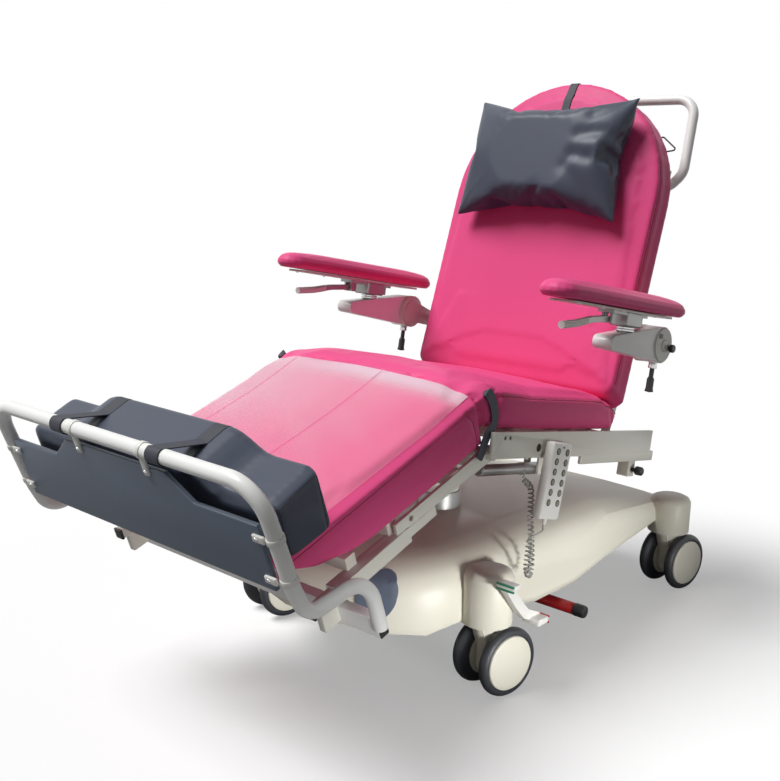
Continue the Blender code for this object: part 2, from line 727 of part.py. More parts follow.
def make_seat_frame():
    """Two side plates with cross tubes, hinge pins, accessory bars and the tilt ears."""
    top = -SEAT_THICK - GAP
    low = top - RAIL_DEPTH
    pieces = []
    for side in (1, -1):
        x0, x1 = sorted((side * RAIL_X, side * (RAIL_X + RAIL_T)))
        centre = Matrix.Translation(((x0 + x1) / 2, 0, 0)) @ SIDE_ON
        outline = [(RAIL_FRONT_S + 0.010, low), (RAIL_REAR_S, low - 0.004), (RAIL_REAR_S, top),
                   (RAIL_FRONT_S, top), (RAIL_FRONT_S, low + 0.010)]
        flank = plate("seat_frame", outline, RAIL_T, centre)
        flank.data.name = "flank"
        pieces.append(flank)
        pieces.append(box("bar", (x0 - 0.001 * (side < 0), BAR_FRONT_S, low - BAR_DEPTH),
                          (x1 + 0.001 * (side > 0), RAIL_REAR_S + 0.018, low + 0.003),
                          bevel=0.002, segments=1))
        pieces.append(rod("hip_pin", (side * (BACK_ARM_X - BACK_ARM_T / 2 - 0.003), HIP_S, HIP_N),
                          (side * (RAIL_X + 0.004), HIP_S, HIP_N), PIVOT_R, sides=20))
    inner = RAIL_X + 0.004
    for s in (0.110, TILT_S, 0.440):
        pieces.append(box("cross", (-inner, s - CROSS_TUBE / 2, top - CROSS_TUBE),
                          (inner, s + CROSS_TUBE / 2, top - 0.0002)))
    pieces.append(rod("knee_tube", (-inner, KNEE_PIVOT_S, KNEE_PIVOT_N), (inner, KNEE_PIVOT_S, KNEE_PIVOT_N),
                      PIVOT_R, sides=20))
    for side in (1, -1):
        x0, x1 = sorted((side * EAR_X, side * (EAR_X + 0.010)))
        ear = ([(TILT_S - 0.030, top - CROSS_TUBE / 2)] + arc((TILT_S, TILT_N), HEAD_R + 0.012, 190, 350, 8)
               + [(TILT_S + 0.030, top - CROSS_TUBE / 2)])
        lug = plate("ear", ear, 0.010, Matrix.Translation(((x0 + x1) / 2, 0, 0)) @ SIDE_ON)
        pieces.append(cut(lug, [rod("eye", (x0 - 0.01, TILT_S, TILT_N), (x1 + 0.01, TILT_S, TILT_N),
                                    HEAD_R + PIN_GAP, sides=20)]))
        settle(lug)
    socket = box("socket", (RAIL_X - 0.030, SOCKET_S - 0.016, low - BAR_DEPTH - 0.040),
                 (RAIL_X + 0.002, SOCKET_S + 0.016, low - BAR_DEPTH + 0.004), bevel=0.002, segments=1)
    pieces.append(socket)
    for x, s in ((LEG_MOTOR_X, LEG_MOTOR_S), (0.0, BACK_MOTOR_S)):
        for cheek in (-MOTOR_R - 0.0033, MOTOR_R + 0.0033):
            pieces.append(box("hanger", (x + cheek - 0.003, s - 0.011, MOTOR_N - 0.012),
                              (x + cheek + 0.003, s + 0.011, top - 0.004)))
    pieces.append(box("mid_cross", (-inner, BACK_MOTOR_S - 0.012, top - CROSS_TUBE),
                      (inner, BACK_MOTOR_S + 0.012, top - 0.0002)))
    frame = settle(join("seat_frame", pieces, "cream_paint"))
    holes = [rod("hole", (RAIL_X - 0.02, s, n), (RAIL_X + 0.03, s, n), r, sides=16)
             for s, n, r in ((RAIL_FRONT_S + 0.042, top - 0.012, 0.0045),
                             (RAIL_FRONT_S + 0.060, top - 0.012, 0.0045),
                             (RAIL_FRONT_S + 0.174, top - 0.034, 0.0095))]
    cut(frame, holes)
    return SEAT.carry(settle(frame))


SOCKET_S = 0.640
LEG_MOTOR_X = 0.150
LEG_MOTOR_S = 0.440
BACK_MOTOR_S = 0.345
MOTOR_N = -0.200
MOTOR_R = 0.015
LEG_LUG = (0.062, -0.198)     # seat coordinates of the leg actuator's front eye at rest
BACK_LUG = (0.600, -0.172)    # seat coordinates of the back actuator's rear eye at rest


def make_clamp_knob():
    """Star knob that clamps a pole in the socket behind the seat."""
    n = -SEAT_THICK - GAP - RAIL_DEPTH - BAR_DEPTH - 0.022
    knob = turned("clamp_knob", [(0.0, 0.030), (0.008, 0.030), (0.011, 0.027), (0.011, 0.012), (0.005, 0.008),
                                 (0.005, 0.0), (0.0, 0.0)], "black_plastic", sides=16, along="X")
    empty = bpy.data.objects.new("knob_axis", None)
    PARTS.objects.link(empty)
    empty.parent = SEAT.empty
    empty.matrix_basis = (Matrix.Translation(-SEAT.pivot)
                          @ Matrix.Translation((RAIL_X + 0.002 + GAP, SOCKET_S, n)))
    knob.parent = empty
    return knob


# Actuators

def make_actuator(tag, x, hanger, lug, body_length, rod_start, bore_start):
    """A linear actuator: gear head and tube hung from the seat frame, rod forked round a lug."""
    hang, eye = Vector((0, *hanger)), Vector((0, *lug))
    along = (eye - hang).normalized()
    side = Vector((x, 0, 0))
    near = hang - along * 0.014
    body_end = hang + along * body_length
    body = join(f"{tag}_actuator", [
        rod(f"{tag}_actuator", near + side, hang + along * 0.060 + side, MOTOR_R, sides=20, bevel=0.003),
        rod("tube", hang + along * 0.045 + side, body_end + side, 0.0135, sides=20),
    ], "grey_metal")
    cut(body, [rod("bore", hang + along * bore_start + side, body_end + along * 0.02 + side, 0.0090,
                   sides=20)])
    tip = eye - along * 0.030
    cheeks = []
    across = along.cross(Vector((1, 0, 0)))
    for offset in (-0.0105, 0.0105):
        base = plate("cheek", ribbon([(-0.010, 0.0), (0.040, 0.0)], 0.018), 0.005, Matrix.Identity(4))
        turn = Matrix((along, across, Vector((1, 0, 0)))).transposed().to_4x4()
        base.data.transform(Matrix.Translation(tip + side + Vector((offset, 0, 0))) @ turn)
        cheeks.append(base)
    stem = rod(f"{tag}_actuator_rod", hang + along * rod_start + side, tip + along * 0.004 + side, 0.0086,
               sides=20)
    head = box("bridge", (-0.0115, -0.006, -0.0078), (0.0115, 0.006, 0.0078))
    head.data.transform(Matrix.Translation(tip + side)
                        @ Matrix((Vector((1, 0, 0)), along, -across)).transposed().to_4x4())
    shaft = join(f"{tag}_actuator_rod", [stem, head] + cheeks, "steel")
    for piece in (body, shaft):
        SEAT.carry(settle(piece))
    return body, shaft


# Leg and foot sections

def leg_profile():
    near = KNEE_PIVOT_S + 0.007
    u = LEG_LENGTH
    return [(-near, -0.003), (-near - 0.012, 0.0), (-0.20, 0.0), (-0.40, 0.0), (-u + 0.035, 0.0),
            (-u + 0.010, -0.006), (-u, -0.022), (-u + 0.016, -0.046), (-u + 0.070, -0.076),
            (-u + 0.150, -0.099), (-u + 0.210, -LEG_THICK), (-0.20, -LEG_THICK), (-near, -LEG_THICK + 0.004)]


def leg_crown(y, n):
    return smooth_step(-0.05, 0.0, n) * smooth_step(-LEG_LENGTH - 0.02, -LEG_LENGTH + 0.12, y)


def make_leg_cushion():
    return LEG.carry(cushion("leg_cushion", leg_profile(), HALF, leg_crown, "vinyl_pink"))


def make_leg_film():
    """Clear cover laid on the leg cushion from the knee to the foot pad."""
    shares = (-0.90, -0.60, 0.0, 0.60, 0.90)
    rows = (-0.060, -0.200, -0.400, -0.480)
    bm = bmesh.new()
    lift = GAP * 2
    grid = [[bm.verts.new((HALF * s, y, lift + CROWN * (1 - s * s) * leg_crown(y, 0.0))) for s in shares]
            for y in rows]
    for upper, lower in zip(grid, grid[1:]):
        for i in range(len(shares) - 1):
            bm.faces.new((upper[i], lower[i], lower[i + 1], upper[i + 1]))
    bmesh.ops.recalc_face_normals(bm, faces=bm.faces)
    if bm.faces[:][0].normal.z < 0:
        bmesh.ops.reverse_faces(bm, faces=bm.faces)
    mesh = bpy.data.meshes.new("leg_film")
    bm.to_mesh(mesh)
    bm.free()
    film = bpy.data.objects.new("leg_film", mesh)
    PARTS.objects.link(film)
    mesh.materials.append(finish("clear_film"))
    sheet = film.modifiers.new("sheet", "SOLIDIFY")
    sheet.thickness = 0.0010
    sheet.offset = 1.0
    return LEG.carry(film)


def make_leg_frame():
    """Flat side links from the knee tube to square sleeves for the foot runners, and cross tubes."""
    top = -LEG_THICK - GAP
    low = SLEEVE_N - SLEEVE / 2
    knee_u, knee_n = -LEG.pivot.y, LEG.pivot.z
    pieces = []
    for side in (1, -1):
        lip = SLEEVE_N + RUNNER / 2 + 0.002
        link = ([(-SLEEVE_REAR_U - 0.060, top - 0.002), (-SLEEVE_REAR_U - 0.060, lip)]
                + [(-SLEEVE_REAR_U + 0.010, lip), (-knee_u - 0.05, knee_n - 0.016)]
                + arc((-knee_u, knee_n), PIVOT_R + 0.0065, 250, 440, 8) + [(-knee_u - 0.040, top - 0.002)])
        bar = plate("leg_frame", link, LINK_T, Matrix.Translation((side * LINK_X, 0, 0)) @ SIDE_ON)
        cut(bar, [rod("eye", (side * LINK_X - 0.02, -knee_u, knee_n), (side * LINK_X + 0.02, -knee_u, knee_n),
                      PIVOT_R + PIN_GAP, sides=20),
                  rod("hole", (side * LINK_X - 0.02, -SLEEVE_REAR_U - 0.016, top - 0.014),
                      (side * LINK_X + 0.02, -SLEEVE_REAR_U - 0.016, top - 0.014), 0.006, sides=16)])
        settle(bar)
        x0, x1 = side * SLEEVE_X - SLEEVE / 2, side * SLEEVE_X + SLEEVE / 2
        sleeve = box("sleeve", (x0, -SLEEVE_FRONT_U, low), (x1, -SLEEVE_REAR_U - 0.03, SLEEVE_N + SLEEVE / 2))
        pieces += [bar, sleeve]
    inner = SLEEVE_X - 0.004
    for u in (0.140, SLEEVE_REAR_U + 0.055, SLEEVE_FRONT_U - 0.060):
        high = top - 0.0002
        half = LINK_X if u < SLEEVE_REAR_U else inner
        pieces.append(box("cross", (-half, -u - CROSS_TUBE / 2, high - CROSS_TUBE - 0.002),
                          (half, -u + CROSS_TUBE / 2, high if u < SLEEVE_FRONT_U - 0.1 else high - 0.0)))
    lug = LEG.frame.inverted() @ SEAT.point(0, *LEG_LUG)
    arm = ribbon([(lug.y - 0.002, lug.z - 0.008), (lug.y - 0.034, lug.z + 0.050), (-0.140, top - 0.016)],
                 0.020)
    pieces.append(plate("lug", arm, 0.010, Matrix.Translation((LEG_MOTOR_X, 0, 0)) @ SIDE_ON))
    frame = settle(join("leg_frame", pieces, "cream_paint"))
    half = RUNNER / 2 + GAP
    bores = [box("bore", (side * SLEEVE_X - half, -SLEEVE_FRONT_U - 0.05, SLEEVE_N - half),
                 (side * SLEEVE_X + half, -0.20, SLEEVE_N + half)) for side in (1, -1)]
    cut(frame, bores)
    return LEG.carry(settle(frame))


def make_foot_frame():
    """Runners in the leg sleeves, a cross bar, and the bumper tube that loops round the foot end."""
    half = RUNNER / 2
    pieces = []
    for side in (1, -1):
        pieces.append(box("foot_frame", (side * SLEEVE_X - half, -RUNNER_END_U, SLEEVE_N - half),
                          (side * SLEEVE_X + half, -0.215, SLEEVE_N + half)))
    bar_top = SLEEVE_N - SLEEVE / 2 - 0.003
    bar_low = bar_top - 0.040
    pieces.append(box("crossbar", (-BUMPER_X - 0.004, -CROSSBAR_U - 0.011, bar_low),
                      (BUMPER_X + 0.004, -CROSSBAR_U + 0.011, bar_top), bevel=0.002, segments=1))
    for side in (1, -1):
        pieces.append(box("tab", (side * SLEEVE_X - 0.008, -RUNNER_END_U + 0.014, bar_low + 0.006),
                          (side * SLEEVE_X + 0.008, -SLEEVE_FRONT_U - 0.003, SLEEVE_N - half + 0.003)))
    flank = [(BUMPER_U - 0.008, 0.004), (BUMPER_U - 0.020, -0.062), (CROSSBAR_U, -0.078),
             (CROSSBAR_U, bar_low + 0.016)]
    right = [(BUMPER_X, -u, n) for u, n in flank]
    corner = [(BUMPER_X, -BUMPER_U, BUMPER_TOP_N)]
    path = right[::-1] + corner + [(-x, y, z) for x, y, z in corner + right]
    pieces.append(tube("bumper", bent(path, 0.062, 4), BUMPER_R, resolution=2))
    return LEG.carry(settle(join("foot_frame", pieces, "white_tube")))


def make_foot_panel():
    """Flat board inside the bumper, notched at both top corners, held by six clips."""
    top_mid, top_end, low = 0.165, 0.121, -0.004
    right = [(PANEL_HALF, low), (PANEL_HALF, top_end), (0.204, top_end), (0.146, top_mid)]
    outline = right + [(-x, n) for x, n in reversed(right)]
    stand = Matrix.Translation((0, -BUMPER_U, 0)) @ Matrix(((1, 0, 0, 0), (0, 0, -1, 0), (0, 1, 0, 0),
                                                            (0, 0, 0, 1)))
    board = plate("foot_panel", outline, PANEL_T, stand)
    clips = []
    reach = BUMPER_X - BUMPER_R - GAP * 2
    for side in (1, -1):
        for n in (0.098, 0.020):
            shift = 0.0045 * smooth_step(0.195, 0.0, n)
            x0, x1 = sorted((side * (PANEL_HALF - 0.012), side * reach))
            clips.append(box("clip", (x0, -BUMPER_U - PANEL_T / 2 - 0.003 + shift, n - 0.008),
                             (x1, -BUMPER_U + PANEL_T / 2 - 0.002 + shift, n + 0.008)))
    for x in (-0.100, 0.100):
        clips.append(box("clip", (x - 0.008, -BUMPER_U - PANEL_T / 2 - 0.003, top_mid - 0.012),
                         (x + 0.008, -BUMPER_U + PANEL_T / 2 - 0.002, BUMPER_TOP_N - BUMPER_R - GAP * 2)))
    return LEG.carry(settle(join("foot_panel", [board] + clips, "vinyl_navy")))


FOOT_PAD_BOTTOM = CROWN + 0.0045


def foot_pad_top(x):
    return FOOT_PAD_LOW + (FOOT_PAD_HIGH - FOOT_PAD_LOW) * smooth_step(0.250, 0.165, abs(x))


def make_foot_cushion():
    """Foam block across the foot end, raised in the middle with an S-shaped step to each end."""
    shares = (1.0, 0.985, 0.94, 0.71, 0.66, 0.61, 0.56, 0.51, 0.455, 0.2)
    across = [-s for s in shares] + [s for s in reversed(shares)]
    r = 0.016
    rings = []
    for share in across:
        x = FOOT_PAD_HALF * share
        top = foot_pad_top(x)
        u0, u1 = -FOOT_PAD_U1, -FOOT_PAD_U0
        slope = 0.012
        ring = (arc((u1 - r, FOOT_PAD_BOTTOM + r), r, 270, 360, 2) + arc((u1 - r, top - r), r, 0, 90, 3)
                + arc((u0 + r, top - slope - r), r, 90, 180, 3)
                + arc((u0 + r, FOOT_PAD_BOTTOM + r), r, 180, 270, 2))
        ring = inset(ring, 0.010 * smooth_step(0.94, 1.0, abs(share)) ** 2)
        rings.append([(x, p.x, p.y) for p in ring])
    return LEG.carry(loft("foot_cushion", rings, "vinyl_navy"))


def make_foot_strap(tag, x):
    """Webbing from the bumper's top bar over the foam block and down its inner face."""
    t = STRAP_T / 2 + GAP * 4
    top, r = foot_pad_top(x), 0.016
    wrap = arc((-BUMPER_U, BUMPER_TOP_N), BUMPER_R + t, -60, -262, 10)
    line = (wrap + [(-FOOT_PAD_U1 + 0.006, BUMPER_TOP_N + 0.002), (-FOOT_PAD_U1 + 0.034, top + t)]
            + arc((-FOOT_PAD_U0 - r, top - r), r + t, 90, 0, 4) + [(-FOOT_PAD_U0 + t, top - 0.080)])
    band = plate(f"foot_strap_{tag}", ribbon(line, STRAP_T), STRAP_W,
                 Matrix.Translation((x, 0, 0)) @ SIDE_ON, "black_plastic")
    return LEG.carry(band)


# Back section

def back_outline():
    arch_v = BACK_LENGTH - HALF
    return ([(-HALF + 0.02, 0.004), (HALF - 0.02, 0.004), (HALF, 0.024), (HALF, 0.16), (HALF, 0.32)]
            + arc((0, arch_v), HALF, 0, 180, 18) + [(-HALF, 0.32), (-HALF, 0.16), (-HALF, 0.024)])


def make_back_cushion():
    levels = ((SEAM_ROUND, -BACK_THICK), (0.0, -BACK_THICK + SEAM_ROUND), (0.003, -BACK_THICK / 2),
              (0.0, -0.010), (0.006, -0.002), (0.050, CROWN * 0.55), (0.120, CROWN * 0.92), (0.200, CROWN))
    outline = back_outline()
    rings = [[(p.x, p.y + (back_foot(n) - back_foot(0)) * smooth_step(0.15, 0.03, p.y), n)
              for p in inset(outline, distance)] for distance, n in levels]
    return BACK.carry(loft("back_cushion", rings, "vinyl_pink"))


def make_back_frame():
    """Side arms on the hip pins, cross tubes behind the cushion, and the two armrest hubs."""
    near = -BACK_THICK - GAP
    far = near - BACK_ARM_DEPTH
    hip_v, hip_n = BACK.pivot.y, BACK.pivot.z
    pieces = []
    for side in (1, -1):
        arm = (arc((hip_v, hip_n), 0.019, 75, 285, 7)
               + [(0.02, far), (HANDLE_FOOT_V + 0.03, far), (HANDLE_FOOT_V + 0.03, near), (0.01, near),
                  (back_foot(near) - 0.003, near)])
        x = side * BACK_ARM_X
        bar = plate("back_frame", arm, BACK_ARM_T, Matrix.Translation((x, 0, 0)) @ SIDE_ON)
        cut(bar, [rod("eye", (x - 0.02, hip_v, hip_n), (x + 0.02, hip_v, hip_n), PIVOT_R + PIN_GAP,
                      sides=20)])
        settle(bar)
        hub_x = side * ARM_HUB_X
        x0, x1 = sorted((side * (ARM_HUB_X - 0.008), hub_x))
        bracket = ([(ARM_V - 0.016, far + 0.004), (ARM_V + 0.016, far + 0.004)]
                   + arc((ARM_V, ARM_N), ARM_DISC_R * 0.72, 20, 160, 6))
        pieces += [bar,
                   rod("spar", (side * (BACK_ARM_X - 0.003), ARM_V, near - 0.014),
                       (hub_x, ARM_V, near - 0.014),
                       0.0125, sides=20),
                   plate("bracket", bracket, 0.008, Matrix.Translation(((x0 + x1) / 2, 0, 0)) @ SIDE_ON),
                   rod("disc", (hub_x - side * 0.002, ARM_V, ARM_N), (hub_x + side * 0.008, ARM_V, ARM_N),
                       ARM_DISC_R, sides=20),
                   rod("pin", (hub_x, ARM_V, ARM_N),
                       (hub_x + side * (0.008 + ARM_BEAM_W + 0.005), ARM_V, ARM_N),
                       PIVOT_R, sides=20)]
    inner = BACK_ARM_X
    for v in (0.050, 0.300, HANDLE_FOOT_V):
        pieces.append(box("cross", (-inner, v - CROSS_TUBE / 2, near - CROSS_TUBE - 0.001),
                          (inner, v + CROSS_TUBE / 2, near - 0.0002)))
    lug = BACK.frame.inverted() @ SEAT.point(0, *BACK_LUG)
    route = [BACK.frame.inverted() @ SEAT.point(0, HIP_S + s, HIP_N + n)
             for s, n in ((0.108, -0.020), (0.114, 0.040), (0.092, 0.100))]
    tongue = ribbon([(lug.y - 0.004, lug.z + 0.006)] + [(p.y, p.z) for p in route]
                    + [(0.050, near - 0.014)], 0.022)
    pieces.append(plate("lug", tongue, 0.010, SIDE_ON))
    return BACK.carry(settle(join("back_frame", pieces, "cream_paint")))


def make_push_handle():
    """Bent tube across the back of the head end, footed on the upper cross tube."""
    foot = -BACK_THICK - GAP - CROSS_TUBE - 0.001 - GAP
    flank = [(HANDLE_X - 0.032, HANDLE_FOOT_V, foot), (HANDLE_X - 0.032, HANDLE_FOOT_V, HANDLE_N + 0.006),
             (HANDLE_X, HANDLE_FOOT_V + 0.045, HANDLE_N), (HANDLE_X - 0.010, HANDLE_TOP_V, HANDLE_N)]
    path = flank + [(-x, v, n) for x, v, n in reversed(flank)]
    return BACK.carry(tube("push_handle", bent(path, 0.050, 4), HANDLE_R, "white_tube", resolution=2))


PILLOW_W, PILLOW_H, PILLOW_T = 0.460, 0.305, 0.076
PILLOW_V = 0.560


def make_head_pillow():
    """Loose filled pillow hung in front of the back cushion by a strap over its top."""
    rows = 24
    middle = CROWN + GAP * 2 + PILLOW_T / 2
    half = PILLOW_T / 2

    def ring(inward, n):
        """One outline of the pillow: square-cornered at the seam, rounder towards its faces."""
        power = 0.34 + 2.0 * inward
        points = []
        for i in range(rows):
            a = 2 * math.pi * (i + 0.5) / rows
            x = math.copysign(abs(math.cos(a)) ** power, math.cos(a))
            y = math.copysign(abs(math.sin(a)) ** power, math.sin(a))
            waist = 1.0 - 0.05 * (1 - min(abs(x), abs(y)) ** 2)
            points.append(((PILLOW_W / 2 - inward) * x * waist,
                           PILLOW_V + (PILLOW_H / 2 - inward) * y * waist, middle + n))
        return points

    levels = ((0.080, -half), (0.040, -0.86 * half), (0.014, -0.50 * half), (0.002, -0.12 * half),
              (0.002, 0.12 * half), (0.014, 0.50 * half), (0.040, 0.86 * half), (0.080, half))
    rings = [ring(inward, n) for inward, n in levels]
    pillow = loft("head_pillow", rings)
    top, t = BACK_LENGTH, STRAP_T / 2 + GAP * 2
    line = [(PILLOW_V + PILLOW_H / 2 - 0.030, middle), (top - 0.060, CROWN + 0.004),
            (top - 0.012, CROWN * 0.5),
            (top + t, -0.006), (top + t, -BACK_THICK + 0.006), (top - 0.008, -BACK_THICK - t - 0.0004),
            (top - 0.110, -BACK_THICK - t)]
    strap = plate("strap", ribbon(line, STRAP_T), 0.022, SIDE_ON)
    return BACK.carry(settle(join("head_pillow", [pillow, strap], "vinyl_navy")))


# Armrests

def make_armrest(tag, side):
    """Beam on the back hub, swivel bracket on its post, clamp lever, index plunger and pad."""
    pivot = BACK.point(0, ARM_V, ARM_N)
    arm = Datum(f"arm_pivot_{tag}", pivot, -SEAT_TILT, (0, 0, 0), BACK)
    x0 = side * (ARM_HUB_X + 0.008 + GAP)
    x1 = x0 + side * ARM_BEAM_W
    mid = (x0 + x1) / 2
    front = -ARM_BEAM_LENGTH
    beam = (arc((front + 0.0155, -0.009), 0.0155, 95, 265, 6)
            + arc((0, 0), ARM_DISC_R - 0.001, 245, 465, 12))
    body = join(f"arm_beam_{tag}", [
        plate(f"arm_beam_{tag}", beam, ARM_BEAM_W, Matrix.Translation((mid, 0, 0)) @ SIDE_ON),
        rod("post", (mid, ARM_POST_A, 0.010), (mid, ARM_POST_A, ARM_POST_H), 0.0125, sides=20),
        rod("ferrule", (mid, PLUNGER_A, -0.032), (mid, PLUNGER_A, -0.056), 0.0085, sides=20),
    ], "cream_paint")
    settle(body)
    cut(body, [rod("eye", (x0 - side * 0.01, 0, 0), (x1 + side * 0.01, 0, 0), PIVOT_R + PIN_GAP, sides=20)])
    arm.carry(settle(body))
    plunger = turned(f"arm_plunger_{tag}", [(0.0, 0.0), (0.0055, 0.0), (0.0055, -0.020), (0.0085, -0.024),
                                            (0.0085, -0.046), (0.0105, -0.054),
                                            (0.0, -0.056)], "black_plastic", sides=20)
    plunger.matrix_basis = Matrix.Translation((mid, PLUNGER_A, -0.056 - GAP))
    arm.carry(plunger)
    swivel = Datum(f"arm_swivel_{tag}", pivot, -SEAT_TILT, (mid, ARM_POST_A, 0), BACK)
    deck = ARM_PAD_H - GAP
    low = 0.030
    lever_a, lever_h = ARM_POST_A - 0.078, 0.040
    parts = [
        box(f"arm_bracket_{tag}", (mid - 0.024, ARM_POST_A - 0.034, low),
            (mid + 0.024, ARM_POST_A + 0.030, deck - 0.003),
            bevel=0.003, segments=1),
        box("tongue", (mid - 0.020, ARM_POST_A - 0.095, deck - 0.012),
            (mid + 0.020, ARM_POST_A + 0.060, deck - 0.002)),
        box("underplate", (mid - 0.030, ARM_PAD_FRONT + 0.060, deck - 0.004),
            (mid + 0.030, ARM_PAD_REAR - 0.070, deck)),
        box("stop", (mid - 0.016, ARM_POST_A + 0.026, low + 0.004),
            (mid + 0.016, ARM_POST_A + 0.046, deck - 0.004)),
        rod("lever_pin", (mid - 0.012, lever_a, lever_h), (mid + 0.012, lever_a, lever_h), LEVER_PIN_R,
            sides=16)]
    for cheek in (-1, 1):
        x_in, x_out = sorted((mid + cheek * (LEVER_W / 2 + GAP * 2), mid + cheek * 0.0135))
        parts.append(box("cheek", (x_in, lever_a - 0.009, lever_h - 0.008),
                         (x_out, lever_a + 0.009, deck - 0.006)))
    bracket = join(f"arm_bracket_{tag}", parts, "grey_metal")
    settle(bracket)
    cut(bracket, [rod("eye", (mid, ARM_POST_A, 0.0), (mid, ARM_POST_A, ARM_POST_H + 0.001),
                      0.0125 + PIN_GAP, sides=20)])
    swivel.carry(settle(bracket))
    pad_mid = ARM_PAD_W / 2
    outline = (arc((mid, ARM_PAD_FRONT + pad_mid * 0.9), pad_mid * 0.9, 180, 360, 8)
               + [(mid + pad_mid, -0.26), (mid + pad_mid, -0.10)]
               + arc((mid, ARM_PAD_REAR - pad_mid), pad_mid, 0, 180, 8)
               + [(mid - pad_mid, -0.10), (mid - pad_mid, -0.26)])
    levels = ((0.010, 0.0), (0.0, 0.010), (0.0, ARM_PAD_T - 0.020), (0.008, ARM_PAD_T - 0.008),
              (0.020, ARM_PAD_T - 0.002), (0.034, ARM_PAD_T))
    rings = [[(p.x, p.y, ARM_PAD_H + h) for p in inset(outline, d)] for d, h in levels]
    swivel.carry(loft(f"arm_pad_{tag}", rings, "vinyl_pink"))
    shape = ribbon([(lever_a + 0.011, lever_h), (lever_a - 0.020, lever_h),
                    (lever_a - 0.075, lever_h - 0.006),
                    (lever_a - 0.130, lever_h - 0.018), (lever_a - 0.183, lever_h - 0.025)], 0.013)
    lever = plate(f"arm_lever_{tag}", shape, LEVER_W, Matrix.Translation((mid, 0, 0)) @ SIDE_ON, "grey_metal")
    cut(lever, [rod("eye", (mid - 0.02, lever_a, lever_h), (mid + 0.02, lever_a, lever_h),
                    LEVER_PIN_R + PIN_GAP,
                    sides=16)])
    settle(lever)
    crank = Datum(f"arm_crank_{tag}", pivot, -SEAT_TILT, (mid, lever_a, lever_h), BACK)
    crank.carry(lever)


ARM_POST_H = 0.056


# Handset and cord

def handset_frame():
    x = RAIL_X + RAIL_T + GAP + 0.008 + HANDSET_T / 2
    return Matrix.Translation((x, HANDSET_Y, HANDSET_Z)) @ rot_x(HANDSET_LEAN)


def button_places():
    rows = [(2.5 - i) * BUTTON_PITCH_Z + 0.009 for i in range(6)]
    return [(side * BUTTON_PITCH_Y / 2, z) for z in rows for side in (-1, 1)]


def make_handset():
    place = handset_frame()
    half = HANDSET_T / 2
    body = box("handset", (-half, -HANDSET_W / 2, -HANDSET_L / 2), (half, HANDSET_W / 2, HANDSET_L / 2),
               bevel=0.007, segments=2)
    hook = box("hook", (-half - 0.008, -0.014, 0.030), (-half + 0.002, 0.014, 0.074), bevel=0.001, segments=1)
    relief = rod("relief", (0, 0, -HANDSET_L / 2 + 0.002), (0, 0, -HANDSET_L / 2 - 0.012), 0.0055, sides=16,
                 end_radius=0.0038)
    handset = settle(join("handset", [body, hook, relief], "handset_white"))
    depth = 0.004
    wells = [rod("well", (half - depth, y, z), (half + 0.01, y, z), BUTTON_R + GAP, sides=12)
             for y, z in button_places()]
    cut(handset, wells)
    settle(handset)
    to_seat = (SEAT.frame @ Matrix.Translation(SEAT.pivot)).inverted() @ place
    handset.parent = SEAT.empty
    handset.matrix_basis = to_seat
    for number, (y, z) in enumerate(button_places(), 1):
        base = half - depth + 0.0018
        button = rod(f"button_{number:02d}", (base - half, 0, 0), (BUTTON_PROUD, 0, 0), BUTTON_R,
                     "button_grey",
                     sides=12, end_radius=BUTTON_R - 0.0004)
        button.parent = SEAT.empty
        button.matrix_basis = to_seat @ Matrix.Translation((half, y, z))
    return handset


def cord_route():
    """Centre line of the handset cord: lead, curled hanging bight, and the end at the seat frame."""
    start = handset_frame() @ Vector((0, 0, -HANDSET_L / 2 - 0.012 - GAP))
    down = (handset_frame().to_3x3() @ Vector((0, 0, -1))).normalized()
    gland = SEAT.point(RAIL_X - 0.012, 0.1715, -SEAT_THICK - GAP - RAIL_DEPTH - 0.0)
    hand = [Vector((0.334, 0.000, 0.318)), Vector((0.334, -0.006, 0.290)), Vector((0.333, -0.008, 0.258)),
            Vector((0.330, 0.003, 0.236)), Vector((0.325, 0.019, 0.235)), Vector((0.319, 0.031, 0.256)),
            Vector((0.311, 0.038, 0.300)), Vector((0.303, 0.043, 0.350)), Vector((0.297, 0.046, 0.410))]
    return [start, start + down * 0.007, start + down * 0.014] + hand + [gland + Vector((0, 0, -0.052)),
                                                                         gland + Vector((0, 0, -0.030))]


def spline_through(points, step):
    """Evenly spaced points on a smooth curve through the given ones."""
    dense = []
    padded = [2 * points[0] - points[1]] + points + [2 * points[-1] - points[-2]]
    for p0, p1, p2, p3 in zip(padded, padded[1:], padded[2:], padded[3:]):
        for i in range(40):
            t = i / 40
            dense.append(0.5 * (2 * p1 + (p2 - p0) * t + (2 * p0 - 5 * p1 + 4 * p2 - p3) * t * t
                                + (3 * p1 - p0 - 3 * p2 + p3) * t ** 3))
    dense.append(points[-1])
    even, left = [dense[0]], step
    for a, b in zip(dense, dense[1:]):
        length = (b - a).length
        while length >= left and length > 0:
            a = a.lerp(b, left / length)
            even.append(a)
            length = (b - a).length
            left = step
        left -= length
    return even


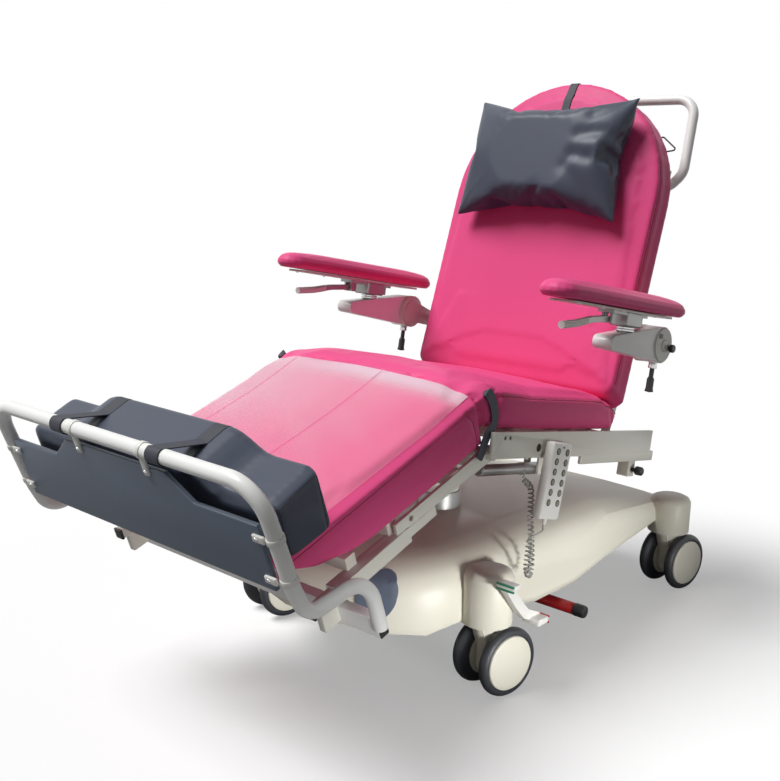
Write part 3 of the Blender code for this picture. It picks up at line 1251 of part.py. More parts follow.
def make_cord():
    """The curls as one helix round the route, straight at both ends."""
    step = CURL_PITCH / CURL_POINTS
    line = spline_through(cord_route(), step)
    lead, tail = 0.056, 0.022
    total = (len(line) - 1) * step
    points, angle = [], 0.0
    side = Vector((1, 0, 0))
    for i, centre in enumerate(line):
        along = (line[min(i + 1, len(line) - 1)] - line[max(i - 1, 0)]).normalized()
        side = (side - along * side.dot(along)).normalized()
        up = along.cross(side)
        here = i * step
        grow = smooth_step(lead - 0.012, lead + 0.008, here) * smooth_step(total - tail + 0.012,
                                                                           total - tail - 0.008, here)
        straight = here < lead - 0.012 or here > total - tail + 0.012
        if straight and i % 4 and i not in (0, len(line) - 1):
            continue
        if not straight:
            angle += 2 * math.pi / CURL_POINTS
        points.append(centre + (side * math.cos(angle) + up * math.sin(angle)) * CURL_R * grow)
    least = min((points[i] - points[j]).length - 2 * CORD_R
                for i in range(len(points)) for j in range(i + 6, min(i + 3 * CURL_POINTS, len(points))))
    length = sum((b - a).length for a, b in zip(points, points[1:]))
    print(f"cord: {angle / 2 / math.pi:.1f} curls, length {length:.3f} m,"
          f" least gap to itself {least * 1000:.2f} mm")
    cord = tube("handset_cord", points, CORD_R, "cord_grey", resolution=1, keep_curve=True)
    cord.parent = SEAT.empty
    cord.matrix_basis = (SEAT.frame @ Matrix.Translation(SEAT.pivot)).inverted()
    return cord


# Assembly

make_base_cover()
make_base_chassis()
make_column_stages()
make_caster("front_right", TOWER_X, TOWER_FRONT_Y, CASTER_TURN)
make_caster("front_left", -TOWER_X, TOWER_FRONT_Y, FRONT_LEFT_TURN)
make_caster("rear_right", TOWER_X, TOWER_REAR_Y, CASTER_TURN)
make_caster("rear_left", -TOWER_X, TOWER_REAR_Y, CASTER_TURN)
make_brake_pedal()
make_lock_pedal()
make_seat_frame()
make_seat_cushion()
make_knee_gusset()
make_knee_strap("right", 1)
make_knee_strap("left", -1)
make_clamp_knob()
make_actuator("leg", LEG_MOTOR_X, (LEG_MOTOR_S, MOTOR_N), LEG_LUG, 0.228, 0.168, 0.075)
make_actuator("back", 0.0, (BACK_MOTOR_S, MOTOR_N), BACK_LUG, 0.119, 0.102, 0.003)
make_leg_frame()
make_leg_cushion()
make_leg_film()
make_foot_frame()
make_foot_panel()
make_foot_cushion()
make_foot_strap("right", STRAP_X)
make_foot_strap("left", -STRAP_X)
make_back_frame()
make_back_cushion()
make_push_handle()
make_head_pillow()
make_armrest("right", 1)
make_armrest("left", -1)
make_handset()
make_cord()
bpy.context.view_layer.update()
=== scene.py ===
# %% [markdown]
# # Dressing a powered treatment chair
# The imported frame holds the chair's real sizes and its joints. This lesson puts the looks round it:
# stuffed covers, painted tubes, moulded plastic, a curly lead and the small fittings. Everything is in
# metres and sits in the frame's own place, so nothing has to be fitted by eye.

# %% Load the frame
import math

import bpy
import numpy as np
from mathutils import Matrix, Vector
from mathutils.bvhtree import BVHTree
from mathutils.kdtree import KDTree


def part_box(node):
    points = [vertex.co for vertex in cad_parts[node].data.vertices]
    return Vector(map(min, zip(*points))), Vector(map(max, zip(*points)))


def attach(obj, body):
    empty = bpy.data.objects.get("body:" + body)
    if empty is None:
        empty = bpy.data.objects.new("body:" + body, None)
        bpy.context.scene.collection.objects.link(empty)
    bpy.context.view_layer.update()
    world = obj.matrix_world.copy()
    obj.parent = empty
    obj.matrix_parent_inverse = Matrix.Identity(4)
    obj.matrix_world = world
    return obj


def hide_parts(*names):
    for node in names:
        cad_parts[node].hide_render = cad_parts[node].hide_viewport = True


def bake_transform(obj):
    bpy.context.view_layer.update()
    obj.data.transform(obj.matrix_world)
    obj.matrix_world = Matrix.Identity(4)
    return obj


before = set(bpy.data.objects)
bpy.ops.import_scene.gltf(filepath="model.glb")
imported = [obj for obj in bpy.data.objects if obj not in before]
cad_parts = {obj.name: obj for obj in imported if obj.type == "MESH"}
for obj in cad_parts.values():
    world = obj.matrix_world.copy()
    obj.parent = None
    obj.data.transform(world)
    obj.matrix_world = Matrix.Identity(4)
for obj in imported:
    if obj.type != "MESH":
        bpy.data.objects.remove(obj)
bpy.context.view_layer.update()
scene = bpy.context.scene

# %% [markdown]
# The chair bends at the knee and at the hip, so its pieces are easiest to describe in the slanted
# directions of the seat, the leg rest, the back, the armrests and the handset. Five matrices hold those
# directions. In the first four, X runs across the chair, Y towards the head and Z square to the section.

# %% Directions of the sections
def slanted(origin, degrees):
    return Matrix.Translation(origin) @ Matrix.Rotation(math.radians(degrees), 4, "X")


KNEE = Vector((0.0, -0.12515, 0.649))
SEAT = slanted(KNEE, -9.0)
LEG = slanted(KNEE, 19.7)
BACK = slanted(SEAT @ Vector((0, 0.492, 0)), 72.0)
ARM = slanted(BACK @ Vector((0, 0.136, 0.008)), -9.0)
HANDSET = Matrix.Translation((0.3343, 0.0715, 0.4325)) @ Matrix.Rotation(math.radians(-15.0), 4, "X")
print("hip line at", [round(v, 3) for v in BACK.translation])

# %% [markdown]
# The camera stands off the chair's right foot corner, a little above the armrests, and looks
# slightly down. A lens of 47 mm on a 36 mm sensor gives the photograph's perspective, and the small roll
# of the hand-held shot is kept.

# %% Camera
eye = Vector((1.457, -1.756, 1.049))
yaw, pitch, roll = math.radians(41.092), math.radians(11.472), math.radians(1.689)
backward = Vector((math.sin(yaw) * math.cos(pitch), -math.cos(yaw) * math.cos(pitch), math.sin(pitch)))
level = (-backward).cross(Vector((0, 0, 1))).normalized()
upward = backward.cross(level)
right = math.cos(roll) * level + math.sin(roll) * upward
above = -math.sin(roll) * level + math.cos(roll) * upward
turn = Matrix((right, above, backward)).transposed().to_4x4()
bpy.ops.object.camera_add(location=eye)
camera = bpy.context.object
camera.matrix_world = Matrix.Translation(eye) @ turn
camera.data.lens = 47.1
camera.data.sensor_width = 36.0
camera.data.sensor_fit = "HORIZONTAL"
camera.data.clip_start = 0.05
scene.camera = camera
print("camera looks down", round(math.degrees(pitch), 1), "degrees")

# %% [markdown]
# Every piece below goes through the same few hand moves: select only it, shape it, apply a modifier,
# freeze its place into the mesh, smooth it, and hang it on a body of the frame. The helpers name those
# moves once.

# %% Hand moves
def clear_selection():
    if bpy.context.object and bpy.context.object.mode != "OBJECT":
        bpy.ops.object.mode_set(mode="OBJECT")
    bpy.ops.object.select_all(action="DESELECT")


def pick(piece):
    clear_selection()
    piece.select_set(True)
    bpy.context.view_layer.objects.active = piece
    return piece


GRID = bpy.ops.mesh.primitive_grid_add
CIRCLE = bpy.ops.mesh.primitive_circle_add
CUBE = bpy.ops.mesh.primitive_cube_add


def started(name, add, **values):
    """A new piece from one of Blender's own shapes."""
    clear_selection()
    add(**values)
    bpy.context.object.name = name
    return bpy.context.object


def settle(piece, place=None):
    """Carry a piece to its place and freeze the place into its mesh."""
    bpy.context.view_layer.update()
    if place is not None:
        piece.matrix_world = place @ piece.matrix_world
    pick(piece)
    bpy.ops.object.transform_apply(location=True, rotation=True, scale=True)
    return piece


def shape(piece, kind, **values):
    """Add one modifier, set its values and apply it at once."""
    pick(piece)
    modifier = piece.modifiers.new(kind.title(), kind)
    for key, value in values.items():
        setattr(modifier, key, value)
    bpy.ops.object.modifier_apply(modifier=modifier.name)
    return piece


def round_edges(piece, width, segments=3, angle=35):
    shape(piece, "BEVEL", width=width, segments=segments, limit_method="ANGLE",
          angle_limit=math.radians(angle), use_clamp_overlap=True)
    return smooth(piece)


def smooth(piece, angle=38):
    pick(piece)
    bpy.ops.object.shade_smooth_by_angle(angle=math.radians(angle))
    return piece


def edited(piece, *moves):
    """Run edit-mode moves, each with its values, on the whole mesh of a piece."""
    pick(piece)
    bpy.ops.object.mode_set(mode="EDIT")
    bpy.ops.mesh.select_all(action="SELECT")
    for move, values in moves:
        move(**values)
    bpy.ops.object.mode_set(mode="OBJECT")
    return piece


def joined(pieces, name):
    """Several pieces made one."""
    clear_selection()
    for piece in pieces:
        piece.select_set(True)
    bpy.context.view_layer.objects.active = pieces[0]
    if len(pieces) > 1:
        bpy.ops.object.join()
    pieces[0].name = name
    return pick(pieces[0])


def copy_of(mesh, name):
    """A new object with its own copy of a mesh."""
    piece = bpy.data.objects.new(name, mesh.copy())
    bpy.context.collection.objects.link(piece)
    return piece


def wear(piece, body, finish, nodes=()):
    """A finished piece takes its finish, rides on its body, if it has one, and stands for its CAD nodes."""
    piece.data.materials.clear()
    piece.data.materials.append(finish)
    if body:
        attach(piece, body)
    if nodes:
        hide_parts(*nodes)
    return piece


def points_of(mesh):
    spots = np.empty(len(mesh.vertices) * 3)
    mesh.vertices.foreach_get("co", spots)
    return spots.reshape(-1, 3)


def local_points(piece, section):
    """A piece's points in the directions of a section."""
    back = np.array(section.inverted())
    return points_of(piece.data) @ back[:3, :3].T + back[:3, 3]


def put_points(piece, spots):
    piece.data.vertices.foreach_set("co", spots.reshape(-1))
    piece.data.update()


def put_local_points(piece, section, spots):
    put_points(piece, (np.c_[spots, np.ones(len(spots))] @ np.array(section).T)[:, :3])


SIDES = (("right", 1), ("left", -1))
OUTWARD = (bpy.ops.mesh.normals_make_consistent, {"inside": False})
print("hand moves ready")

# %% [markdown]
# The finishes come from a short list: coated vinyl in two colours, cream moulding, cream and white
# paint, grey and bright metal, black and white plastic, webbing and rubber. All of them share one
# recipe. A slow noise shifts the colour a little, a finer one shifts the gloss, and a grain at the
# real scale of the material raises the surface.

# %% Recipe for a finish
def fill(tree, node, inputs):
    """Put a constant or a link on each named input of a node."""
    for name, value in inputs.items():
        if isinstance(value, bpy.types.NodeSocket):
            tree.links.new(value, node.inputs[name])
        else:
            node.inputs[name].default_value = value
    return node


def add_node(tree, kind, inputs, **settings):
    node = tree.nodes.new(f"ShaderNode{kind}")
    for key, value in settings.items():
        setattr(node, key, value)
    return fill(tree, node, inputs)


def blank_finish(name):
    """A new material with its node tree and its shader."""
    material = bpy.data.materials.new(name)
    material.use_nodes = True
    return material, material.node_tree, material.node_tree.nodes["Principled BSDF"]


def make_finish(name, slot, colour, rough, metallic=0.0, drift=0.10, drift_scale=5.0, uneven=0.05,
                grain="NOISE", grain_scale=400.0, grain_depth=0.0002, grain_strength=0.15, coat=0.0,
                specular=0.5):
    material, tree, shader = blank_finish(name)
    material["slot"] = slot
    place = add_node(tree, "TexCoord", {}).outputs["Object"]
    clouds = add_node(tree, "TexNoise", {"Scale": drift_scale, "Detail": 3.0, "Vector": place})
    tone = add_node(tree, "Mix", {"A": [c * (1 - drift) for c in colour] + [1],
                                  "B": [min(1.0, c * (1 + drift)) for c in colour] + [1],
                                  "Factor": clouds.outputs["Fac"]}, data_type="RGBA")
    smears = add_node(tree, "TexNoise", {"Scale": drift_scale * 7, "Detail": 4.0, "Vector": place})
    gloss = add_node(tree, "MapRange", {"To Min": max(0.02, rough - uneven), "Value": smears.outputs["Fac"],
                                        "To Max": min(1.0, rough + uneven)})
    if grain == "CELLS":
        relief = add_node(tree, "TexVoronoi", {"Scale": grain_scale, "Vector": place}, feature="SMOOTH_F1")
        height = relief.outputs["Distance"]
    else:
        relief = add_node(tree, "TexNoise", {"Scale": grain_scale, "Detail": 2.0, "Vector": place})
        height = relief.outputs["Fac"]
    bump = add_node(tree, "Bump", {"Strength": grain_strength, "Distance": grain_depth, "Height": height})
    fill(tree, shader, {"Base Color": tone.outputs["Result"], "Roughness": gloss.outputs["Result"],
                        "Normal": bump.outputs["Normal"], "Metallic": metallic, "Coat Weight": coat,
                        "Coat Roughness": 0.25, "Specular IOR Level": specular})
    return material


PINK = make_finish("pink_cover", "pink_vinyl", (0.82, 0.092, 0.270), 0.42, drift=0.05, grain="CELLS",
                   grain_scale=520, grain_depth=0.0004, grain_strength=0.04, specular=0.14)
NAVY = make_finish("navy_cover", "navy_vinyl", (0.050, 0.062, 0.092), 0.42, drift=0.10, grain="CELLS",
                   grain_scale=520, grain_depth=0.0004, grain_strength=0.18, specular=0.32)
BOARD = make_finish("navy_board", "navy_board", (0.110, 0.138, 0.190), 0.44, drift=0.10, grain_scale=700,
                    grain_strength=0.08)
CREAM = make_finish("cream_moulding", "cream_moulding", (0.80, 0.775, 0.66), 0.40, drift=0.03, uneven=0.04,
                    grain_scale=240, grain_depth=0.0003, grain_strength=0.05, specular=0.4)
PAINT = make_finish("cream_paint", "cream_paint", (0.70, 0.69, 0.61), 0.36, drift=0.04, uneven=0.04,
                    grain_scale=320, grain_strength=0.06, coat=0.10)
TUBE = make_finish("white_tube", "white_tube", (0.90, 0.90, 0.88), 0.30, drift=0.02, uneven=0.02,
                   grain_scale=260, grain_strength=0.02, coat=0.15)
GREY = make_finish("grey_metal", "grey_metal", (0.34, 0.34, 0.33), 0.38, metallic=0.7, drift=0.08,
                   grain_scale=300, grain_strength=0.08)
STEEL = make_finish("bright_steel", "steel", (0.60, 0.60, 0.60), 0.22, metallic=1.0, drift=0.05,
                    grain_scale=600, grain_strength=0.04)
BLACK = make_finish("black_plastic", "black_plastic", (0.014, 0.014, 0.016), 0.45, drift=0.15,
                    grain_scale=800, grain_strength=0.15)
WEB = make_finish("navy_webbing", "black_webbing", (0.013, 0.016, 0.027), 0.62, drift=0.2, drift_scale=40,
                  grain_scale=900, grain_depth=0.0006, grain_strength=0.4)
TYRE = make_finish("tyre", "tyre", (0.034, 0.037, 0.044), 0.46, drift=0.12, grain_scale=500,
                   grain_depth=0.0004, grain_strength=0.2)
WHITE = make_finish("white_plastic", "white_plastic", (0.82, 0.81, 0.77), 0.40, drift=0.03, uneven=0.04,
                    grain_scale=700, grain_strength=0.08)
RED = make_finish("red_plastic", "red_plastic", (0.46, 0.016, 0.018), 0.36, drift=0.08, grain_scale=500,
                  grain_strength=0.08)
KEY = make_finish("key_top", "grey_plastic", (0.30, 0.265, 0.185), 0.45, drift=0.10, grain_scale=900,
                  grain_strength=0.08)
LEAD = make_finish("lead_grey", "cord", (0.40, 0.40, 0.37), 0.45, drift=0.08, grain_scale=600,
                   grain_strength=0.08)
GREEN = make_finish("green_edge", "white_plastic", (0.03, 0.26, 0.13), 0.42, drift=0.08, grain_scale=600)
print("finishes:", len([m for m in bpy.data.materials if "slot" in m]))

# %% [markdown]
# The handset hangs on a curly lead. It leaves the handset's foot straight, curls round a hanging bight
# and goes up behind the side plate into the seat frame. A helix round a smooth route is the true shape
# of such a lead, so one open spline with 35 curls is laid and given its thickness.

# %% Curly lead
def route_points(through, step):
    """Evenly spaced points on a smooth curve through the given ones."""
    ends = [2 * through[0] - through[1]] + through + [2 * through[-1] - through[-2]]
    dense = []
    for p0, p1, p2, p3 in zip(ends, ends[1:], ends[2:], ends[3:]):
        for i in range(40):
            t = i / 40
            dense.append(0.5 * (2 * p1 + (p2 - p0) * t + (2 * p0 - 5 * p1 + 4 * p2 - p3) * t * t
                                + (3 * p1 - p0 - 3 * p2 + p3) * t ** 3))
    dense.append(through[-1])
    even, left = [dense[0]], step
    for a, b in zip(dense, dense[1:]):
        length = (b - a).length
        while length >= left and length > 0:
            a = a.lerp(b, left / length)
            even.append(a)
            length = (b - a).length
            left = step
        left -= length
    return even


def ease(a, b, value):
    t = min(max((value - a) / (b - a), 0.0), 1.0)
    return t * t * (3 - 2 * t)


def strand(name, points, radius, rings):
    """A round wire along a line, as a curve with closed ends."""
    curve = bpy.data.curves.new(name, "CURVE")
    curve.dimensions = "3D"
    curve.bevel_depth = radius
    curve.bevel_resolution = rings
    curve.use_fill_caps = True
    spline = curve.splines.new("POLY")
    spline.points.add(len(points) - 1)
    for point, spot in zip(spline.points, points):
        point.co = (*spot, 1.0)
    piece = bpy.data.objects.new(name, curve)
    bpy.context.collection.objects.link(piece)
    return piece


WIRE_RADIUS = 0.0018
CURL_RADIUS = 0.0058
CURL_PITCH = 0.010
CURL_POINTS = 16
CURL_EASE = 0.020
STRAIGHT_START, STRAIGHT_END = 0.044, 0.010
lead_start = HANDSET @ Vector((0, 0, -0.0963))
lead_down = (HANDSET.to_3x3() @ Vector((0, 0, -1))).normalized()
lead_end = SEAT @ Vector((0.294, 0.1715, -0.1353))
lead_way = [lead_start, lead_start + lead_down * 0.007, lead_start + lead_down * 0.014]
lead_way += [Vector(p) for p in ((0.334, 0.000, 0.318), (0.334, -0.006, 0.290), (0.333, -0.008, 0.258),
                                 (0.330, 0.003, 0.236), (0.325, 0.019, 0.235), (0.319, 0.031, 0.256),
                                 (0.311, 0.038, 0.300), (0.303, 0.043, 0.350), (0.297, 0.046, 0.410))]
lead_way += [lead_end + Vector((0, 0, -0.052)), lead_end + Vector((0, 0, -0.030))]
curl_step = CURL_PITCH / CURL_POINTS
lead_line = route_points(lead_way, curl_step)
lead_total = (len(lead_line) - 1) * curl_step
lead_points, curl_angle, side = [], 0.0, Vector((1, 0, 0))
for i, centre in enumerate(lead_line):
    along = (lead_line[min(i + 1, len(lead_line) - 1)] - lead_line[max(i - 1, 0)]).normalized()
    side = (side - along * side.dot(along)).normalized()
    here = i * curl_step
    grow = (ease(STRAIGHT_START, STRAIGHT_START + CURL_EASE, here)
            * ease(lead_total - STRAIGHT_END, lead_total - STRAIGHT_END - CURL_EASE, here))
    if STRAIGHT_START < here < lead_total - STRAIGHT_END:
        curl_angle += 2 * math.pi / CURL_POINTS
    curl = side * math.cos(curl_angle) + along.cross(side) * math.sin(curl_angle)
    lead_points.append(centre + curl * CURL_RADIUS * grow)
lead = strand("handset_lead", lead_points, WIRE_RADIUS, 2)
wear(lead, "seat", LEAD, ["handset_cord"])

# %% [markdown]
# Upholstery looks right when it is blown up like the real thing: foam pushes a sewn cover outwards and
# the seams hold it back. Each cover starts as a copy of its CAD cushion, a little smaller, is remeshed
# to an even cloth grid and swells under Blender's cloth pressure, with the side that rests on the frame
# held still. A limit on the travel keeps it inside the space that the frame leaves.

# %% Blown-up covers
def normals_of(mesh):
    arrows = np.empty(len(mesh.vertices) * 3)
    mesh.vertex_normals.foreach_get("vector", arrows)
    return arrows.reshape(-1, 3)


def grown(piece, amount):
    """Push every point out along its normal, or in with a negative amount."""
    put_points(piece, points_of(piece.data) + normals_of(piece.data) * amount)
    return piece


def skin_of(nodes, name, voxel):
    """One even skin round copies of the named CAD cushions."""
    copies = []
    for node in nodes:
        piece = copy_of(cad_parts[node].data, name)
        edited(piece, (bpy.ops.mesh.remove_doubles, {"threshold": 0.0001}))
        copies.append(grown(piece, 0.001 if len(nodes) > 1 else 0.0))
    skin = joined(copies, name)
    skin.data.remesh_voxel_size = voxel
    bpy.ops.object.voxel_remesh()
    return shape(skin, "SMOOTH", factor=0.5, iterations=2)


def blown(piece, pressure, limit, held=None, stiff=12.0, bending=0.4, frames=20, outward=False):
    """Swell a closed cover under pressure, with its held points kept still and its travel limited."""
    start, arrows = points_of(piece.data), normals_of(piece.data)
    cloth = piece.modifiers.new("Cloth", "CLOTH")
    cloth.settings.quality = 4
    cloth.settings.mass = 0.3
    cloth.settings.tension_stiffness = stiff
    cloth.settings.compression_stiffness = stiff
    cloth.settings.bending_stiffness = bending
    cloth.settings.use_pressure = True
    cloth.settings.uniform_pressure_force = pressure
    cloth.settings.effector_weights.gravity = 0.0
    cloth.collision_settings.use_collision = False
    cloth.point_cache.frame_start = 1
    cloth.point_cache.frame_end = frames
    if held is not None:
        group = piece.vertex_groups.new(name="held")
        group.add([int(i) for i in np.nonzero(held)[0]], 1.0, "REPLACE")
        cloth.settings.vertex_group_mass = "held"
    for number in range(1, frames + 1):
        scene.frame_set(number)
    swollen = points_of(piece.evaluated_get(bpy.context.evaluated_depsgraph_get()).data)
    travel = swollen - start
    if outward:
        travel = arrows * np.maximum(np.sum(travel * arrows, axis=1, keepdims=True), 0.0)
    reach = np.linalg.norm(travel, axis=1, keepdims=True)
    put_points(piece, start + travel * np.minimum(1.0, limit / np.maximum(reach, 1e-9)))
    piece.modifiers.clear()
    piece.vertex_groups.clear()
    scene.frame_set(1)
    print(piece.name, "swelled by up to", round(float(reach.max()) * 1000, 1), "mm")
    return piece


def stuffed(nodes, name, sections, voxel=0.007, inside=0.004, pressure=4.0, limit=0.010):
    """A stuffed cover: its faces turned to the frame are held, the rest swells."""
    piece = skin_of(nodes, name, voxel)
    downs = [np.array((section.to_3x3() @ Vector((0, 0, -1)))[:]) for section in sections]
    held = np.max([normals_of(piece.data) @ down for down in downs], axis=0) > 0.6
    return blown(grown(piece, -inside), pressure, limit, held, outward=True)


def finer(piece):
    shape(piece, "SUBSURF", levels=1, render_levels=1)
    pick(piece)
    bpy.ops.object.shade_smooth()
    return piece


print("cloth recipe ready")

# %% [markdown]
# A seam is a line where two panels are sewn together: the cover dips along it and the thread shows as a
# darker line. The line is drawn in a section's directions, dropped on the swollen surface, sunk into it,
# and followed by a thin thread.

# %% Seams and threads
def skin_tree(piece):
    return BVHTree.FromObject(piece, bpy.context.evaluated_depsgraph_get())


def between(points, step=0.004):
    """The corners of a line, filled in evenly."""
    dense = []
    for a, b in zip(points, points[1:]):
        count = max(1, int((b - a).length / step))
        dense += [a.lerp(b, i / count) for i in range(count)]
    return dense + [points[-1]]


def sewn(piece, section, line, width=0.006, depth=0.0022):
    """Sink a seam into a cover along a line; returns the line on the surface."""
    skin = skin_tree(piece)
    path = [skin.find_nearest(section @ p)[0] for p in between([Vector(p) for p in line])]
    tree = KDTree(len(path))
    for i, p in enumerate(path):
        tree.insert(p, i)
    tree.balance()
    spots, arrows, marks = points_of(piece.data), normals_of(piece.data), np.array([p[:] for p in path])
    low, high = marks.min(axis=0) - 3 * width, marks.max(axis=0) + 3 * width
    near = np.nonzero(np.all((spots > low) & (spots < high), axis=1))[0]
    gaps = np.array([tree.find(Vector(p))[2] for p in spots[near]])
    spots[near] -= arrows[near] * (depth * np.exp(-(gaps / width) ** 2))[:, None]
    put_points(piece, spots)
    skin = skin_tree(piece)
    return [skin.find_nearest(p)[0] for p in path]


def tube_along(name, points, radius, rings=3):
    """A round tube or thread along a line, as a mesh with closed ends."""
    clear_selection()
    pick(strand(name, points, radius, rings))
    bpy.ops.object.convert(target="MESH")
    return smooth(bpy.context.object, 60)


THREAD_PINK = make_finish("seam_pink", "pink_vinyl", (0.26, 0.014, 0.06), 0.6, drift=0.1, grain_scale=900)
THREAD_NAVY = make_finish("seam_navy", "navy_vinyl", (0.006, 0.008, 0.014), 0.6, drift=0.1, grain_scale=900)


def thread(name, line, body, finish):
    return wear(tube_along(name, line, 0.0009, 1), body, finish)


print("seams ready")

# %% [markdown]
# Seat, knee and leg rest look like one mattress: the cover runs over the knee without a break. So the
# three CAD cushions get one common skin, which is blown up as a whole.
# The seat is drawn a little fuller on top, at its lower side edges and towards the hip.
# Round its edge runs a seam a finger's width under the top, and at the hip the cover gathers in a small
# fan of folds.

# %% Mattress of seat and leg rest
MATTRESS_HALF = 0.300
FULLER_TOP, FULLER_EDGE, FULLER_HIP = 0.014, 0.009, 0.003


def ramp(values, low, high):
    return np.clip((values - low) / (high - low), 0, 1)


def bends_at_knee(piece):
    """The piece's place frozen into its mesh; it rides on no body."""
    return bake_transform(piece)


mattress = finer(stuffed(["seat_cushion", "knee_gusset", "leg_cushion"], "mattress_cover", [SEAT, LEG],
                         voxel=0.009, inside=0.002, limit=0.007))
seat_x, seat_y, seat_n = local_points(mattress, SEAT).T
leg_y, leg_n = local_points(mattress, LEG).T[1:]
height = ramp(seat_n, -0.085, -0.010) * ramp(leg_n, -0.085, -0.010)
length = np.where(seat_y > 0, 1 - ramp(seat_y, 0.40, 0.53), ramp(leg_y, -0.30, -0.02))
low_edge = ramp(abs(seat_x), 0.25, 0.295) * ramp(-seat_n, 0.045, 0.075) * ramp(seat_y, 0.03, 0.07)
moves = np.zeros((len(seat_x), 3))
moves[:, 1] = FULLER_HIP * ramp(seat_y, 0.46, 0.55)
moves[:, 2] = FULLER_TOP * height * length - FULLER_EDGE * low_edge
put_points(mattress, points_of(mattress.data) + moves @ np.array(SEAT.to_3x3()).T)
mattress_seams = []
for side in (1, -1):
    x = side * MATTRESS_HALF
    mattress_seams.append(sewn(mattress, SEAT, [(x, 0.036, -0.010), (x, 0.12, -0.006), (x, 0.42, -0.008),
                                                (x, 0.51, -0.021), (x, 0.555, -0.036)], depth=0.0030))
    mattress_seams.append(sewn(mattress, LEG, [(x, -0.060, -0.012), (x, -0.12, -0.012), (x, -0.30, -0.018),
                                               (x, -0.588, -0.024)], depth=0.0030))
    mattress_seams.append(sewn(mattress, LEG, [(x, -0.078, -0.012), (x, -0.066, -0.036), (x, -0.064, -0.070),
                                               (x, -0.068, -0.104)]))
    for line in ([(x, 0.530, -0.078), (x, 0.508, -0.032)], [(x, 0.543, -0.072), (x, 0.528, -0.032)],
                 [(x, 0.552, -0.060), (x, 0.546, -0.038)]):
        sewn(mattress, SEAT, line, width=0.007, depth=0.0032)
wear(mattress, None, PINK, ["seat_cushion", "knee_gusset", "leg_cushion"])
bends_at_knee(mattress)
for number, line in enumerate(mattress_seams, 1):
    bends_at_knee(thread(f"mattress_seam_{number}", line, None, THREAD_PINK))
print("mattress:", len(mattress.data.polygons), "faces,", len(mattress_seams), "seams")

# %% [markdown]
# The back rest is one long cushion with a round top. Its front panel is drawn over the foam and sewn to
# a side panel, so a seam runs up both sides and over the arch.

# %% Back cushion
back_cover = finer(stuffed(["back_cushion"], "back_cover", [BACK], voxel=0.009, inside=0.0, limit=0.0025))
ARCH_CENTRE, SEAM_N = 0.485, -0.016
arch = [(MATTRESS_HALF * math.cos(math.radians(a)), ARCH_CENTRE + MATTRESS_HALF * math.sin(math.radians(a)),
         SEAM_N) for a in range(0, 181, 6)]
rising = [(MATTRESS_HALF, 0.03, SEAM_N), (MATTRESS_HALF, 0.25, SEAM_N)]
falling = [(-x, y, n) for x, y, n in reversed(rising)]
back_seam = sewn(back_cover, BACK, rising + arch + falling, depth=0.0030)
wear(back_cover, "back", PINK, ["back_cushion"])
thread("back_seam", back_seam, "back", THREAD_PINK)
print("back cover:", len(back_cover.data.polygons), "faces")

# %% [markdown]
# The foot pad is a foam block across the end of the leg rest, raised in the middle, with a soft S
# towards each end. Its navy cover is tight, and the two straps press a shallow groove into it.

# %% Foot pad
FOOT_STRAP_X, FOOT_SEAM_X = 0.142, 0.356
foot_cover = finer(stuffed(["foot_cushion"], "foot_cover", [LEG], voxel=0.007, inside=0.002, limit=0.006))
for x in (FOOT_STRAP_X, -FOOT_STRAP_X):
    sewn(foot_cover, LEG, [(x, -0.62, 0.180), (x, -0.52, 0.184), (x, -0.508, 0.17), (x, -0.508, 0.11)],
         width=0.014, depth=0.0022)
wear(foot_cover, "foot", NAVY, ["foot_cushion"])
foot_seams = [sewn(foot_cover, LEG, [(x, -0.528, 0.030), (x, -0.522, 0.130), (x, -0.612, 0.120),
                                     (x, -0.612, 0.030)], width=0.004, depth=0.0014)
              for x in (FOOT_SEAM_X, -FOOT_SEAM_X)]
for number, line in enumerate(foot_seams, 1):
    thread(f"foot_seam_{number}", line, "foot", THREAD_NAVY)
print("foot cover:", len(foot_cover.data.polygons), "faces")

# %% [markdown]
# The head pillow is a loose bag: two flat panels sewn round the edge and half filled. That is also how it
# is made here. A flat grid gets thin sides, the pressure parts its panels and the corners stay thin and
# pointed. Six soft folds are then pressed in from its edges.

# %% Head pillow
PILLOW_WIDTH, PILLOW_LENGTH = 0.486, 0.324
PILLOW_REST = 0.0175
pillow = started("pillow_cover", GRID, x_subdivisions=64, y_subdivisions=44, size=1)
pillow.dimensions = (PILLOW_WIDTH, PILLOW_LENGTH, 0)
settle(pillow, BACK @ Matrix.Translation((0, 0.560, 0.053)))
shape(pillow, "SOLIDIFY", thickness=0.006, offset=0.0)
blown(pillow, 2.5, 0.060, stiff=15.0, bending=0.05, frames=24)
finer(pillow)
for line, depth in (([(0.21, 0.612, 0.06), (0.12, 0.600, 0.09)], 0.006),
                    ([(0.21, 0.545, 0.06), (0.115, 0.552, 0.09)], 0.007),
                    ([(0.22, 0.700, 0.05), (0.14, 0.655, 0.09)], 0.005),
                    ([(0.04, 0.415, 0.06), (0.02, 0.480, 0.09)], 0.006),
                    ([(-0.10, 0.415, 0.06), (-0.09, 0.455, 0.09)], 0.004),
                    ([(0.19, 0.425, 0.05), (0.10, 0.520, 0.09)], 0.004)):
    sewn(pillow, BACK, line, width=0.019, depth=depth)
spots = local_points(pillow, BACK)
spots[:, 2] = np.maximum(spots[:, 2], PILLOW_REST)
put_local_points(pillow, BACK, spots)
wear(pillow, "back", NAVY, ["head_pillow"])
print("pillow:", [round(float(v), 3) for v in np.ptp(spots, axis=0)])
